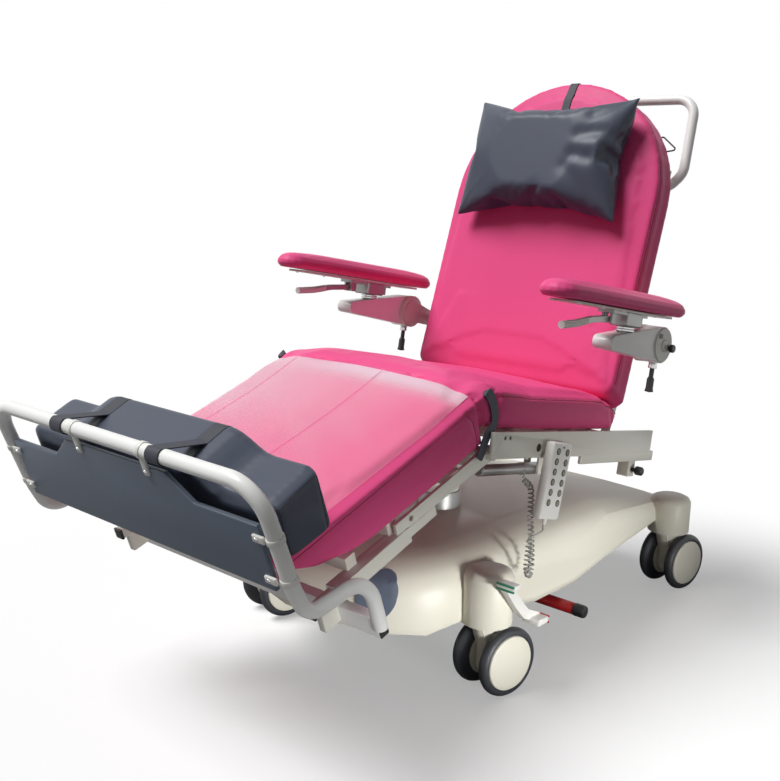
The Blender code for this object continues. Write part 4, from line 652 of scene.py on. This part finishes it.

# %% [markdown]
# Straps and bands are flat webbing. A grid of a few columns is laid along a path row by row and then
# thickened, so the band keeps its width round every bend. The pillow's own band goes over the arch of
# the back rest to its rear side. Two bands run from the bumper over the foot pad, and a short one on each
# side of the knee lies on the mattress.

# %% Webbing
CROSSWISE = Vector((1, 0, 0))
BAND_COLUMNS = 5
TOP_LIFT, SIDE_LIFT = 0.0016, 0.0014


def webbing(name, rows, thickness, even=0):
    """A band through rows of points, evened out if need be, and thickened."""
    last_row, last_column = len(rows) - 1, len(rows[0]) - 1
    piece = started(name, GRID, x_subdivisions=last_column, y_subdivisions=last_row, size=1)
    put_points(piece, np.array([rows[round((y + 0.5) * last_row)][round((x + 0.5) * last_column)][:]
                                for x, y, _ in points_of(piece.data)]))
    if even:
        shape(piece, "SMOOTH", factor=0.5, iterations=even)
    shape(piece, "SOLIDIFY", thickness=thickness, offset=0.0)
    return smooth(piece, 50)


def strip(name, path, width, thickness):
    """A flat band along a path, with its width across the chair."""
    offsets = np.linspace(-0.5, 0.5, BAND_COLUMNS) * width
    return webbing(name, [[p + CROSSWISE * w for w in offsets] for p in path], thickness)


def laid_on(piece, section, line, lift):
    """A line dropped on a cover and lifted off it by a little."""
    skin = skin_tree(piece)
    path = []
    for p in between([Vector(p) for p in line], 0.006):
        spot, normal = skin.find_nearest(section @ p)[:2]
        path.append(spot + normal * lift)
    return path


pillow_band = laid_on(back_cover, BACK, [(0, 0.690, 0.03), (0, 0.740, 0.03), (0, 0.790, 0.0),
                                         (0, 0.800, -0.04), (0, 0.790, -0.085), (0, 0.730, -0.10)], TOP_LIFT)
wear(strip("pillow_band", pillow_band, 0.022, 0.0020), "back", WEB, ["head_pillow"])


def rounded(centre, radius, start, stop, steps):
    """Points of an arc in the plane along a section."""
    return [(centre[0] + radius * math.cos(math.radians(start + (stop - start) * i / steps)),
             centre[1] + radius * math.sin(math.radians(start + (stop - start) * i / steps)))
            for i in range(steps + 1)]


BUMPER_TOP = (-0.655, 0.195)
for tag, side in SIDES:
    x = side * FOOT_STRAP_X
    wrap = [LEG @ Vector((x, y, n)) for y, n in rounded(BUMPER_TOP, 0.0152, -60, -262, 18)]
    over = laid_on(foot_cover, LEG, [(x, -0.575, 0.200), (x, -0.530, 0.200), (x, -0.498, 0.180),
                                     (x, -0.498, 0.104)], SIDE_LIFT)
    wear(strip(f"foot_band_{tag}", wrap + over, 0.034, 0.0020), "foot", WEB, [f"foot_strap_{tag}"])

KNEE_BAND_WIDTH = 0.026
MATTRESS_SIDE = 0.3012
ROWS_ON_TOP = 2
skin = skin_tree(mattress)
knee_line = between([Vector((0, s, n)) for s, n in ((-0.022, 0.010), (-0.012, 0.001), (0.008, -0.018),
                                                    (0.024, -0.044), (0.026, -0.066), (0.008, -0.086),
                                                    (0.001, -0.102), (-0.004, -0.120), (-0.012, -0.138))],
                    0.006)
for tag, side in SIDES:
    rows = []
    for i, p in enumerate(knee_line):
        ahead = (knee_line[min(i + 1, len(knee_line) - 1)] - knee_line[max(i - 1, 0)]).normalized()
        aims = [SEAT @ (p + Vector((side * 0.302, ahead.z * w, -ahead.y * w)))
                for w in np.linspace(-0.5, 0.5, BAND_COLUMNS) * KNEE_BAND_WIDTH]
        if i < ROWS_ON_TOP:
            wraps = [skin.find_nearest(aim)[:2] for aim in aims]
            rows.append([spot + normal * TOP_LIFT for spot, normal in wraps])
            continue
        hits = [skin.ray_cast(aim + Vector((side * 0.06, 0, 0)), Vector((-side, 0, 0)))[0] for aim in aims]
        stand = max([abs(hit.x) for hit in hits if hit] + [MATTRESS_SIDE]) + SIDE_LIFT
        rows.append([Vector((side * stand, aim.y, aim.z)) for aim in aims])
    band = webbing(f"knee_band_{tag}", rows, 0.0018, even=3)
    bends_at_knee(wear(band, None, WEB, [f"knee_strap_{tag}"]))
print("webbing bands made")

# %% [markdown]
# The arm pads are moulded: firm, smooth and rounded all over, with a flat underside on a metal plate.

# %% Arm pads
for tag, _ in SIDES:
    pad = finer(stuffed([f"arm_pad_{tag}"], f"arm_cover_{tag}", [ARM], voxel=0.005, inside=0.002,
                        limit=0.005))
    wear(pad, f"arm_top_{tag}", PINK, [f"arm_pad_{tag}"])
    print(pad.name, len(pad.data.polygons), "faces")

# %% [markdown]
# Metal and plastic pieces whose CAD shape is already right are carried over as copies: the loose
# triangles are merged, flat faces are joined, and every hard edge gets the small radius that bent
# sheet, welded tube and moulded plastic have.

# %% Rigid pieces carried over
def carried(node, body, finish, edge=0.0012, segments=2, angle=35):
    piece = edited(copy_of(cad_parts[node].data, f"{node}_dressed"),
                   (bpy.ops.mesh.remove_doubles, {"threshold": 0.00005}),
                   (bpy.ops.mesh.dissolve_limited, {"angle_limit": math.radians(1.0)}))
    return wear(round_edges(piece, edge, segments, angle), body, finish, [node])


base = carried("base_cover", "base", CREAM, 0.003, 2, 40)
carried("base_chassis", "base", GREY)
carried("column_middle", "column_mid", PAINT, 0.001)
carried("column_inner", "column_top", PAINT, 0.001)
for tag in ("seat", "leg", "back"):
    carried(f"{tag}_frame", tag, PAINT)
for tag, _ in SIDES:
    carried(f"arm_beam_{tag}", f"arm_{tag}", TUBE, 0.004, 3)
    carried(f"arm_bracket_{tag}", f"arm_top_{tag}", GREY)
    carried(f"arm_lever_{tag}", f"lever_{tag}", GREY)
    carried(f"arm_plunger_{tag}", f"plunger_{tag}", BLACK)
for tag in ("leg", "back"):
    carried(f"{tag}_actuator", f"{tag}_motor", GREY)
    carried(f"{tag}_actuator_rod", f"{tag}_rod", STEEL)
carried("clamp_knob", "knob", BLACK)
carried("brake_pedal", "brake", WHITE)
carried("handset", "seat", WHITE, 0.0015)
for number in range(1, 13):
    carried(f"button_{number:02d}", f"key_{number:02d}", KEY, 0.0004)
CASTERS = ("front_right", "front_left", "rear_right", "rear_left")
for tag in CASTERS:
    carried(f"caster_fork_{tag}", f"caster_{tag}", CREAM, 0.002)
print("rigid pieces carried over")

# %% [markdown]
# Turned parts are built ring by ring: one circle is extruded along its axis and scaled at each step, as
# a profile on a lathe. Copies get their own mesh, and parts of one finish on one body are joined.

# %% Turned parts and copies
def turned(name, profile, sides=40, ring=False):
    """Rings of given radius and height, from the first to the last; a ring profile closes on itself."""
    steps = profile + profile[:1] if ring else profile
    piece = started(name, CIRCLE, vertices=sides, radius=steps[0][0],
                    location=(0, 0, steps[0][1]))
    moves = []
    for (r0, h0), (r1, h1) in zip(steps, steps[1:]):
        moves += [(bpy.ops.mesh.extrude_region_move, {"TRANSFORM_OT_translate": {"value": (0, 0, h1 - h0)}}),
                  (bpy.ops.transform.resize, {"value": (r1 / r0, r1 / r0, 1), "center_override": (0, 0, h1)})]
    everything = (bpy.ops.mesh.select_all, {"action": "SELECT"})
    moves += [everything, (bpy.ops.mesh.remove_doubles, {"threshold": 0.00002})]
    if not ring:
        moves.append((bpy.ops.mesh.fill_holes, {"sides": 0}))
    edited(settle(piece), *moves, everything, OUTWARD)
    return smooth(piece, 34)


def copy_at(model, name, place):
    """A copy with its own mesh, carried to its place."""
    twin = copy_of(model.data, name)
    twin.data.transform(place)
    return twin


def fit(model, name, places, body, finish, nodes=()):
    """Copies of one model at several places, worn as one piece."""
    return wear(joined([copy_at(model, name, place) for place in places], name), body, finish, nodes)


def away(*models):
    for model in models:
        bpy.data.objects.remove(model)


def facing(spot, axis, section=None):
    """Place that turns a turned part's axis from Z to a direction and moves it to a spot."""
    swing = Vector((0, 0, 1)).rotation_difference(Vector(axis)).to_matrix().to_4x4()
    place = Matrix.Translation(spot) @ swing
    return section @ place if section else place


def block(name, low, high, place=None, edge=0.002, segments=3):
    """A box between two corners with its edges rounded."""
    low, high = Vector(low), Vector(high)
    piece = started(name, CUBE, size=1, location=(low + high) / 2)
    piece.scale = high - low
    settle(piece, place)
    return round_edges(piece, edge, segments)


print("workshop moves ready")

# %% [markdown]
# Each caster carries two wheels back to back: a dark casing and tyre round a domed cream disc. One tyre
# and one disc are turned and copied to the eight places, each facing outwards from its caster leg. The
# tapered leg itself shows between the wheels.

# %% Wheels
WHEEL_RADIUS = 0.075
WHEEL_APART = 0.0189
WHEEL_TURN = -11
tyre = turned("tyre_model", [(0.050, 0.0015), (0.060, 0.0045), (0.0675, 0.0090), (0.0725, 0.0140),
                             (0.0748, 0.0190), (0.0750, 0.0220), (0.0738, 0.0270), (0.0710, 0.0310),
                             (0.066, 0.0335), (0.0618, 0.0338), (0.0600, 0.0310), (0.050, 0.0305)],
              64, ring=True)
disc = turned("disc_model", [(0.0505, 0.0025), (0.0505, 0.0300), (0.0592, 0.0302), (0.0592, 0.0325),
                             (0.0580, 0.0345), (0.0550, 0.0357), (0.0450, 0.0378), (0.0300, 0.0394),
                             (0.0150, 0.0402), (0.0008, 0.0404)], 64)
axle = turned("axle_model", [(0.0080, -0.0195), (0.0088, -0.0187), (0.0088, 0.0187), (0.0080, 0.0195)], 24)
caster_leg = turned("leg_model", [(0.0150, 0.050), (0.0178, 0.056), (0.0182, 0.098), (0.0196, 0.114),
                                  (0.0240, 0.130), (0.0292, 0.146), (0.0300, 0.1560), (0.0292, 0.1575)], 40)
wheel_centres = {"front_right": (0.3098, -0.0815), "front_left": (-0.3098, -0.1305),
                 "rear_right": (0.3098, 0.7435), "rear_left": (-0.3002, 0.7435)}
caster_posts = {"front_right": (0.305, -0.106), "front_left": (-0.305, -0.106),
                "rear_right": (0.305, 0.719), "rear_left": (-0.305, 0.719)}
for tag, (x, y) in wheel_centres.items():
    hub = Matrix.Translation((x, y, WHEEL_RADIUS)) @ Matrix.Rotation(math.radians(WHEEL_TURN), 4, "Z")
    places = [facing((side * WHEEL_APART, 0, 0), (side, 0, 0), hub) for side in (1, -1)]
    node = [f"caster_wheels_{tag}"]
    fit(tyre, f"tyres_{tag}", places, f"wheels_{tag}", TYRE, node)
    fit(disc, f"discs_{tag}", places, f"wheels_{tag}", CREAM, node)
    fit(axle, f"axle_{tag}", [facing((0, 0, 0), (1, 0, 0), hub)], f"wheels_{tag}", STEEL, node)
for tag, (x, y) in caster_posts.items():
    fit(caster_leg, f"caster_leg_{tag}", [Matrix.Translation((x, y, 0))], f"caster_{tag}", CREAM,
        [f"caster_fork_{tag}"])
away(tyre, disc, axle, caster_leg)
print("wheels:", 2 * len(wheel_centres))

# %% [markdown]
# The bumper and the push handle are one tube each, bent on a former. The path is a polyline with its
# corners rounded to the bending radius, and the tube follows it. Square runners and a cross bar carry the
# bumper, with black caps on the open ends.

# %% Bent tubes
def bent(corners, radius, steps=12):
    """A polyline with its inner corners rounded to a bending radius."""
    corners = [Vector(p) for p in corners]
    path = [corners[0]]
    for before, corner, after in zip(corners, corners[1:], corners[2:]):
        into, out = (before - corner).normalized(), (after - corner).normalized()
        half = into.angle(out) / 2
        reach = min(radius / math.tan(half), 0.48 * (before - corner).length, 0.48 * (after - corner).length)
        bend = reach * math.tan(half)
        centre = corner + (into + out).normalized() * bend / math.sin(half)
        first, last = corner + into * reach, corner + out * reach
        for i in range(steps + 1):
            path.append(centre + (first.lerp(last, i / steps) - centre).normalized() * bend)
    return path + [corners[-1]]


def mirrored(corners):
    return corners + [(-x, y, z) for x, y, z in reversed(corners)]


def box_on(name, low, high, section, body, finish, nodes=(), edge=0.002, segments=3):
    """A rounded block, worn at once."""
    return wear(block(name, low, high, section, edge, segments), body, finish, nodes)


bumper_way = mirrored([(0.380, -0.495, -0.1915), (0.380, -0.495, -0.078), (0.380, -0.635, -0.062),
                       (0.380, -0.647, 0.004), (0.380, *BUMPER_TOP)])
bumper = tube_along("bumper_tube", [LEG @ p for p in bent(bumper_way, 0.062)], 0.0135, 7)
wear(bumper, "foot", TUBE, ["foot_frame"])
handle_way = mirrored([(0.236, 0.560, -0.1106), (0.236, 0.560, -0.164), (0.268, 0.605, -0.170),
                       (0.258, 0.800, -0.170)])
handle = tube_along("handle_tube", [BACK @ p for p in bent(handle_way, 0.050)], 0.0125, 7)
wear(handle, "back", TUBE, ["push_handle"])
box_on("cross_bar", (-0.384, -0.506, -0.2075), (0.384, -0.484, -0.1675), LEG, "foot", TUBE, ["foot_frame"],
       edge=0.003)
for tag, side in SIDES:
    x = side * 0.284
    box_on(f"runner_{tag}", (x - 0.011, -0.558, -0.160), (x + 0.011, -0.215, -0.138), LEG, "foot", PAINT,
           ["foot_frame"])
    box_on(f"runner_tab_{tag}", (x - 0.008, -0.544, -0.2015), (x + 0.008, -0.503, -0.157), LEG, "foot", PAINT)
    box_on(f"runner_cap_{tag}", (x - 0.0118, -0.562, -0.1608), (x + 0.0118, -0.556, -0.1372), LEG, "foot",
           BLACK)
    cap = sorted((side * 0.3835, side * 0.3875))
    box_on(f"bar_cap_{tag}", (cap[0], -0.5055, -0.207), (cap[1], -0.4845, -0.168), LEG, "foot", BLACK)
print("bumper tube:", len(bumper.data.polygons), "faces")

# %% [markdown]
# The foot board is a flat panel with both top corners notched. Six white clips hold it to the bumper:
# each has a tongue screwed to the board and an eye round the tube.

# %% Foot board and clips
def board(name, outline, thickness, edge):
    """A flat panel: a filled ring of corners, dragged to the outline and thickened."""
    piece = started(name, CIRCLE, vertices=len(outline), fill_type="NGON")
    put_points(piece, np.array([p[:] for p in outline]))
    shape(piece, "SOLIDIFY", thickness=thickness, offset=0.0)
    return round_edges(edited(piece, OUTWARD), edge)


half_outline = [(0.355, -0.655, -0.004), (0.355, -0.655, 0.121), (0.204, -0.655, 0.121),
                (0.146, -0.655, 0.165)]
outline = [LEG @ Vector(p) for p in mirrored(half_outline)]
wear(board("foot_board", outline, 0.010, 0.003), "foot", BOARD, ["foot_panel"])
clip_eye = turned("eye_model", [(0.0134, -0.0055), (0.0148, -0.0055), (0.0152, -0.0045), (0.0152, 0.0045),
                                (0.0148, 0.0055), (0.0134, 0.0055)], 32, ring=True)
screw = turned("screw_model", [(0.0042, -0.001), (0.0042, 0.0008), (0.0036, 0.0018), (0.0020, 0.0024),
                               (0.0019, 0.0012), (0.0004, 0.0012)], 20)
clip_places, screw_places, tongues = [], [], []
TONGUE_FRONT, TONGUE_BACK, SCREW_FACE = -0.6645, -0.6585, -0.6643


def tongue(x, n):
    """A flat clip tongue between two places across and two places up."""
    tongues.append(block("tongue", (x[0], TONGUE_FRONT, n[0]), (x[1], TONGUE_BACK, n[1]), LEG, 0.0022))


for side in (1, -1):
    for n in (0.098, 0.020):
        u = 0.647 + 0.008 * (n - 0.004) / 0.191
        clip_places.append(facing((side * 0.380, -u, n), (0, -0.042, 1), LEG))
        tongue(sorted((side * 0.340, side * 0.3665)), (n - 0.007, n + 0.007))
        screw_places.append(facing((side * 0.349, SCREW_FACE, n), (0, -1, 0), LEG))
for x in (0.100, -0.100):
    clip_places.append(facing((x, *BUMPER_TOP), (1, 0, 0), LEG))
    tongue((x - 0.007, x + 0.007), (0.150, 0.184))
    screw_places.append(facing((x, SCREW_FACE, 0.158), (0, -1, 0), LEG))
fit(clip_eye, "clip_eyes", clip_places, "foot", WHITE, ["foot_panel"])
fit(screw, "clip_screws", screw_places, "foot", STEEL)
wear(joined(tongues, "clip_tongues"), "foot", WHITE, ["foot_panel"])
away(clip_eye)
print("clips:", len(clip_places))

# %% [markdown]
# Each armrest is a small mechanism: a beam on a hub plate at the back rest, a chrome post with two
# collars, a bracket under the pad, a clamp lever with a white grip and a sprung plunger that locks the
# flip. The small parts that the carried shapes leave out are added here, mirrored for the left arm.

# %% Armrest fittings
hub_plate = turned("hub_model", [(0.0135, 0.0), (0.0400, 0.0), (0.0400, 0.0020), (0.0385, 0.0034),
                                 (0.0135, 0.0036)], 48, ring=True)
hub_knob = turned("knob_model", [(0.0060, 0.0), (0.0060, 0.004), (0.0092, 0.0048), (0.0096, 0.0065),
                                 (0.0092, 0.0120), (0.0080, 0.0134), (0.0006, 0.0138)], 28)
collar = turned("collar_model", [(0.0128, 0.0), (0.0200, 0.0), (0.0210, 0.0010), (0.0210, 0.0035),
                                 (0.0200, 0.0045), (0.0128, 0.0045)], 40, ring=True)
sleeve = turned("sleeve_model", [(0.0086, 0.0), (0.0098, 0.0), (0.0104, 0.0030), (0.0098, 0.0060),
                                 (0.0098, 0.0180), (0.0086, 0.0200)], 28, ring=True)
for tag, side in SIDES:
    arm, mid = f"arm_{tag}", side * 0.3808
    fit(hub_plate, f"hub_plate_{tag}", [facing((side * 0.4045, 0, 0), (side, 0, 0), ARM)], arm, PAINT)
    fit(hub_knob, f"hub_knob_{tag}", [facing((side * 0.4075, 0.027, -0.005), (side, 0, 0), ARM)], arm, BLACK)
    # A thin black sheet on the hub plate paints the shade of a slot's opening; no slot is cut.
    slot_shade_x = sorted((side * 0.4068, side * 0.4085))
    box_on(f"hub_slot_shade_{tag}", (slot_shade_x[0], -0.030, 0.014), (slot_shade_x[1], -0.012, 0.025), ARM, arm, BLACK,
           edge=0.0006, segments=2)
    collars = [facing((mid, -0.146, h), (0, 0, 1), ARM) for h in (0.0193, 0.0248)]
    fit(collar, f"post_collars_{tag}", collars, arm, STEEL)
    fit(sleeve, f"plunger_sleeve_{tag}", [facing((mid, 0.014, -0.0555), (0, 0, 1), ARM)], arm, STEEL)
    box_on(f"pad_plate_{tag}", (mid - 0.0315, -0.419, 0.0607), (mid + 0.0315, 0.012, 0.0656), ARM,
           f"arm_top_{tag}", PAINT, edge=0.0015, segments=2)
    screws = [facing((mid + side * 0.0255, a, 0.0612), (0, 0, -1), ARM)
              for a in (-0.395, -0.300, -0.215, -0.060)]
    fit(screw, f"pad_screws_{tag}", screws, f"arm_top_{tag}", STEEL)
    grip_way = [ARM @ Vector((mid, a, h)) for a, h in ((-0.318, 0.0298), (-0.354, 0.0220), (-0.380, 0.0185),
                                                       (-0.410, 0.0146))]
    grip = tube_along(f"lever_grip_{tag}", grip_way, 0.0082, 5)
    wear(round_edges(grip, 0.0025), f"lever_{tag}", WHITE)
away(hub_plate, hub_knob, collar, sleeve, screw)
print("armrest fittings made")

# %% [markdown]
# The handset's keys sit in dark rings. Each ring is turned once and copied to its place on the face, and
# a small lamp lens sits above the top row.

# %% Handset face
key_ring = turned("key_ring_model", [(0.0055, -0.0004), (0.0078, -0.0004), (0.0076, 0.0005), (0.0070, 0.0009),
                                     (0.0056, 0.0007)], 28, ring=True)
KEY_ROWS, KEY_PITCH, KEY_MIDDLE, KEY_SIDE, FACE_X = 6, 0.0222, 0.009, 0.0185, 0.0120
key_heights = [(2.5 - row) * KEY_PITCH + KEY_MIDDLE for row in range(KEY_ROWS)]
rings = [facing((FACE_X, y, z), (1, 0, 0), HANDSET) for z in key_heights for y in (-KEY_SIDE, KEY_SIDE)]
fit(key_ring, "key_rings", rings, "seat", BLACK)
lens = turned("lens_model", [(0.0024, -0.0006), (0.0024, 0.0003), (0.0018, 0.0009), (0.0004, 0.0011)], 16)
fit(lens, "handset_lens", [facing((FACE_X, 0, 0.0745), (1, 0, 0), HANDSET)], "seat", BLACK)
away(key_ring, lens)
print("key rings:", len(rings))

# %% [markdown]
# The brake pedal's treads are marked by coloured edges, green in front and red behind. The lock pedal is a
# red bar with a dark end cap on a flat steel arm.

# %% Pedals
BRAKE = Matrix.Translation((0.373, -0.096, 0.212))
for name, finish, spots in (("brake_edge_front", GREEN, ((-0.0634, 0.0585), (-0.0634, 0.0484))),
                            ("brake_edge_rear", RED, ((0.0735, -0.0435), (0.0735, -0.0560)))):
    for number, (y, z) in enumerate(spots, 1):
        box_on(f"{name}_{number}", (-0.0126, y, z), (0.0306, y + 0.0042, z + 0.0046), BRAKE, "brake", finish,
               edge=0.0012, segments=2)
LOCK_AXLE = (0.144, 0.194)
LOCK_BAR = (0.206, 0.096)
LOCK = ["lock_pedal"]
lock_bar = turned("lock_bar_model", [(0.0100, 0.0), (0.0130, 0.0015), (0.0140, 0.0050), (0.0140, 0.1080),
                                     (0.0130, 0.1110)], 32)
lock_cap = turned("lock_cap_model", [(0.0146, 0.0), (0.0150, 0.0015), (0.0150, 0.0220), (0.0135, 0.0258),
                                     (0.0090, 0.0272), (0.0006, 0.0275)], 32)
fit(lock_bar, "lock_bar", [facing((0.2250, *LOCK_BAR), (1, 0, 0))], "lock", RED, LOCK)
fit(lock_cap, "lock_cap", [facing((0.3345, *LOCK_BAR), (1, 0, 0))], "lock", BLACK, LOCK)
lock_way = between([Vector((0.235, y, z)) for y, z in (LOCK_AXLE, (0.164, 0.164), LOCK_BAR)], 0.01)
wear(strip("lock_arm", lock_way, 0.012, 0.016), "lock", GREY, LOCK)
axle_ends = [Vector((x, *LOCK_AXLE)) for x in (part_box("lock_pedal")[0][0], 0.245)]
wear(tube_along("lock_axle", axle_ends, 0.009, 5), "lock", STEEL, LOCK)
away(lock_bar, lock_cap)
print("pedals dressed")

# %% [markdown]
# A few small things finish the frame: dark discs in the side plate's holes, which paint the shade inside
# the holes, a bare oval plate on the nose of the base, and a little wire hook behind the head end.

# %% Small fittings
# Dark discs sit in the side plate's holes: painted shade of the holes' insides.
hole_shade = turned("hole_shade_model", [(0.90, -0.003), (1.0, -0.003), (1.0, 0.0), (0.85, 0.0006), (0.02, 0.0006)], 28)
hole_shade_places = [facing((0.3125, s, n), (1, 0, 0), SEAT) @ Matrix.Diagonal((r, r, 1, 1))
               for s, n, r in ((0.056, -0.0923, 0.0044), (0.074, -0.0923, 0.0044), (0.188, -0.1143, 0.0093))]
fit(hole_shade, "plate_hole_shades", hole_shade_places, "seat", BLACK)
away(hole_shade)
oval = started("nose_plate", CIRCLE, vertices=48, radius=1, fill_type="TRIFAN")
edited(oval, (bpy.ops.mesh.subdivide, {"number_cuts": 4}))
base_skin = skin_tree(base)
PLATE_X, PLATE_Z, PLATE_HALF_WIDTH, PLATE_HALF_HEIGHT = 0.162, 0.225, 0.0375, 0.050
laid = []
for x, z, _ in points_of(oval.data):
    aim = Vector((PLATE_X + PLATE_HALF_WIDTH * x, -0.6, PLATE_Z + PLATE_HALF_HEIGHT * z))
    hit = base_skin.ray_cast(aim, Vector((0, 1, 0)))[0] or aim + Vector((0, 0.3, 0))
    laid.append((hit - Vector((0, 0.0012, 0)))[:])
put_points(oval, np.array(laid))
shape(oval, "SOLIDIFY", thickness=0.0014, offset=0.0)
wear(smooth(edited(oval, OUTWARD)), "base", BOARD)
print("nose plate:", np.round(np.ptp(np.array(laid), axis=0), 3))
HOOK_N = -0.096
hook_way = bent([BACK @ Vector((x, y, HOOK_N)) for x, y in ((0.205, 0.668), (0.232, 0.672), (0.2747, 0.6392),
                                                            (0.240, 0.633), (0.205, 0.640))], 0.004, 6)
wear(tube_along("wire_hook", hook_way, 0.0020, 3), "back", BLACK)
print("small fittings made")

# %% [markdown]
# A thin clear cover lies on the leg rest to keep shoes off the vinyl. It has been folded in its packet,
# so two long creases run down it. Its glare is painted: the whitish sheet is more opaque towards the left,
# in a band over the knee, and less along the creases. That painted glare is stored at the points of the
# sheet, and the film's material reads it from there as its opacity.

# %% Clear cover on the leg rest
def soft_waves(spots, scale, seed):
    """Slow waves over points, the same on every run."""
    rng = np.random.default_rng(seed)
    total = np.zeros(len(spots))
    for _ in range(6):
        direction = rng.normal(size=3)
        direction *= scale * rng.uniform(0.6, 1.5) / np.linalg.norm(direction)
        total += np.sin(spots @ direction + rng.uniform(0, 6.28))
    return total / 6


FILM_WIDTH, FILM_LENGTH = 0.556, 0.452
CREASES = (-0.20, 0.06)
FILM, tree, shader = blank_finish("clear_film")
FILM["slot"] = "clear_film"
# The whitish sheet's opacity is the painted glare stored on its points.
painted_glare = add_node(tree, "Attribute", {}, attribute_name="painted_glare")
place = add_node(tree, "TexCoord", {})
ripple = add_node(tree, "TexNoise", {"Scale": 14.0, "Vector": place.outputs["Object"]})
bump = add_node(tree, "Bump", {"Strength": 0.3, "Distance": 0.002, "Height": ripple.outputs["Fac"]})
fill(tree, shader, {"Base Color": (0.98, 0.80, 0.90, 1), "Roughness": 0.16, "Alpha": painted_glare.outputs["Fac"],
                    "Normal": bump.outputs["Normal"]})

film = started("leg_film_sheet", GRID, x_subdivisions=140, y_subdivisions=110, size=1)
film.dimensions = (FILM_WIDTH, FILM_LENGTH, 0)
settle(film, LEG @ Matrix.Translation((0, -0.270, 0.03)))
leg_tree = skin_tree(mattress)
leg_up = (LEG.to_3x3() @ Vector((0, 0, 1))).normalized()
flat_spots = local_points(film, LEG)
waves = soft_waves(flat_spots * [1, 0.5, 1], 60.0, 3)
laid = []
for (x, y, _), wave in zip(flat_spots, waves):
    hit = leg_tree.ray_cast(LEG @ Vector((x, y, 0.10)), -leg_up)
    ground = (LEG.inverted() @ hit[0]).z if hit[0] else 0.0
    crease = 0.0016 * sum(math.exp(-((x - line) / 0.004) ** 2) for line in CREASES)
    laid.append((x, y, ground + 0.0011 + crease + 0.0005 * (1 + wave)))
put_local_points(film, LEG, np.array(laid))
shape(film, "SOLIDIFY", thickness=0.0003, offset=1.0)
smooth(film, 60)
spots = local_points(film, LEG)
x, y = spots[:, 0], spots[:, 1]
# Painted glare: opacity raised towards the left and the knee end, in a band over the knee and by slow waves,
# and lowered along the creases.
painted_glare_amount = (0.08 + 0.27 * np.clip((0.22 - x) / 0.50, 0, 1) * np.clip((y + 0.50) / 0.30, 0.25, 1)
             + 0.40 * np.exp(-((y + 0.055) / 0.030) ** 2) * np.clip((x + 0.25) / 0.30, 0.25, 1)
             + 0.05 * np.clip(soft_waves(spots * [1, 2.2, 1], 38.0, 8), 0, 1))
painted_glare_amount *= 1 - 0.6 * sum(np.exp(-((x - line) / 0.0028) ** 2) for line in CREASES)
film.data.attributes.new("painted_glare", "FLOAT", "POINT").data.foreach_set("value", np.clip(painted_glare_amount, 0.04, 0.62))
wear(film, "leg", FILM, ["leg_film"])
print("film:", len(film.data.polygons), "faces")

# %% [markdown]
# The stage is a round white floor and a white surround. One large soft light stands high on the left and a
# little in front, as a ceiling of lamps would, and a long low lamp on the right lights the base's side. The
# floor is pale to the camera and throws back less light than it seems to. The surround is bright only for
# what looks at it directly, in a reflection or through something, so it doesn't wash out the shadows.

# %% Stage and light
floor = settle(started("floor", CIRCLE, vertices=128, radius=1.9, fill_type="NGON", location=(0, 0.1, 0)))
floor_finish, tree, shader = blank_finish("floor_white")
to_camera = add_node(tree, "LightPath", {}).outputs["Is Camera Ray"]
bounce = add_node(tree, "MapRange", {"To Min": 0.30, "To Max": 0.97, "Value": to_camera})
place = add_node(tree, "TexCoord", {})
radius = add_node(tree, "VectorMath", {0: place.outputs["Object"]}, operation="LENGTH")
rim = add_node(tree, "MapRange", {"From Min": 1.0, "From Max": 1.8, "To Min": 0.35,
                                  "Value": radius.outputs["Value"]}, interpolation_type="SMOOTHSTEP")
glow = add_node(tree, "Math", {0: rim.outputs["Result"], 1: to_camera}, operation="MULTIPLY")
rest_of_it = add_node(tree, "Math", {0: 1.0, 1: glow.outputs[0]}, operation="SUBTRACT")
paleness = add_node(tree, "Math", {0: bounce.outputs["Result"], 1: rest_of_it.outputs[0]},
                    operation="MULTIPLY")
fill(tree, shader, {"Roughness": 0.8, "Specular IOR Level": 0.1, "Emission Color": (1, 1, 1, 1),
                    "Emission Strength": glow.outputs[0], "Base Color": paleness.outputs[0]})
floor.data.materials.append(floor_finish)

scene.world = bpy.data.worlds.new("surround")
scene.world.use_nodes = True
sky = scene.world.node_tree
ways = add_node(sky, "LightPath", {}).outputs
seen = add_node(sky, "Math", {0: ways["Is Camera Ray"], 1: ways["Is Glossy Ray"]}, operation="MAXIMUM")
seen_all = add_node(sky, "Math", {0: seen.outputs[0], 1: ways["Is Transmission Ray"]}, operation="MAXIMUM")
strength = add_node(sky, "MapRange", {"To Min": 0.11, "To Max": 1.0, "Value": seen_all.outputs[0]})
fill(sky, sky.nodes["Background"], {"Color": (1, 1, 1, 1), "Strength": strength.outputs["Result"]})


def lamp(name, kind, place, direction, **values):
    """A light at a place, shining in a direction."""
    bpy.ops.object.light_add(type=kind, location=place)
    light = bpy.context.object
    light.name = name
    for key, value in values.items():
        setattr(light.data, key, value)
    light.rotation_euler = Vector(direction).to_track_quat("-Z", "Y").to_euler()


LOW_LAMP = Vector((2.7, -0.55, 0.20))
BASE_SIDE = Vector((0.1, 0.05, 0.17))
lamp("key", "SUN", (-1.2, -0.8, 2.6), (0.36, 0.42, -0.83), energy=3.3, angle=math.radians(32))
lamp("low_fill", "AREA", LOW_LAMP, BASE_SIDE - LOW_LAMP, shape="RECTANGLE", size=1.2, size_y=0.25, energy=1.6,
     spread=math.radians(18))
scene.view_settings.view_transform = "Standard"
print("stage ready")
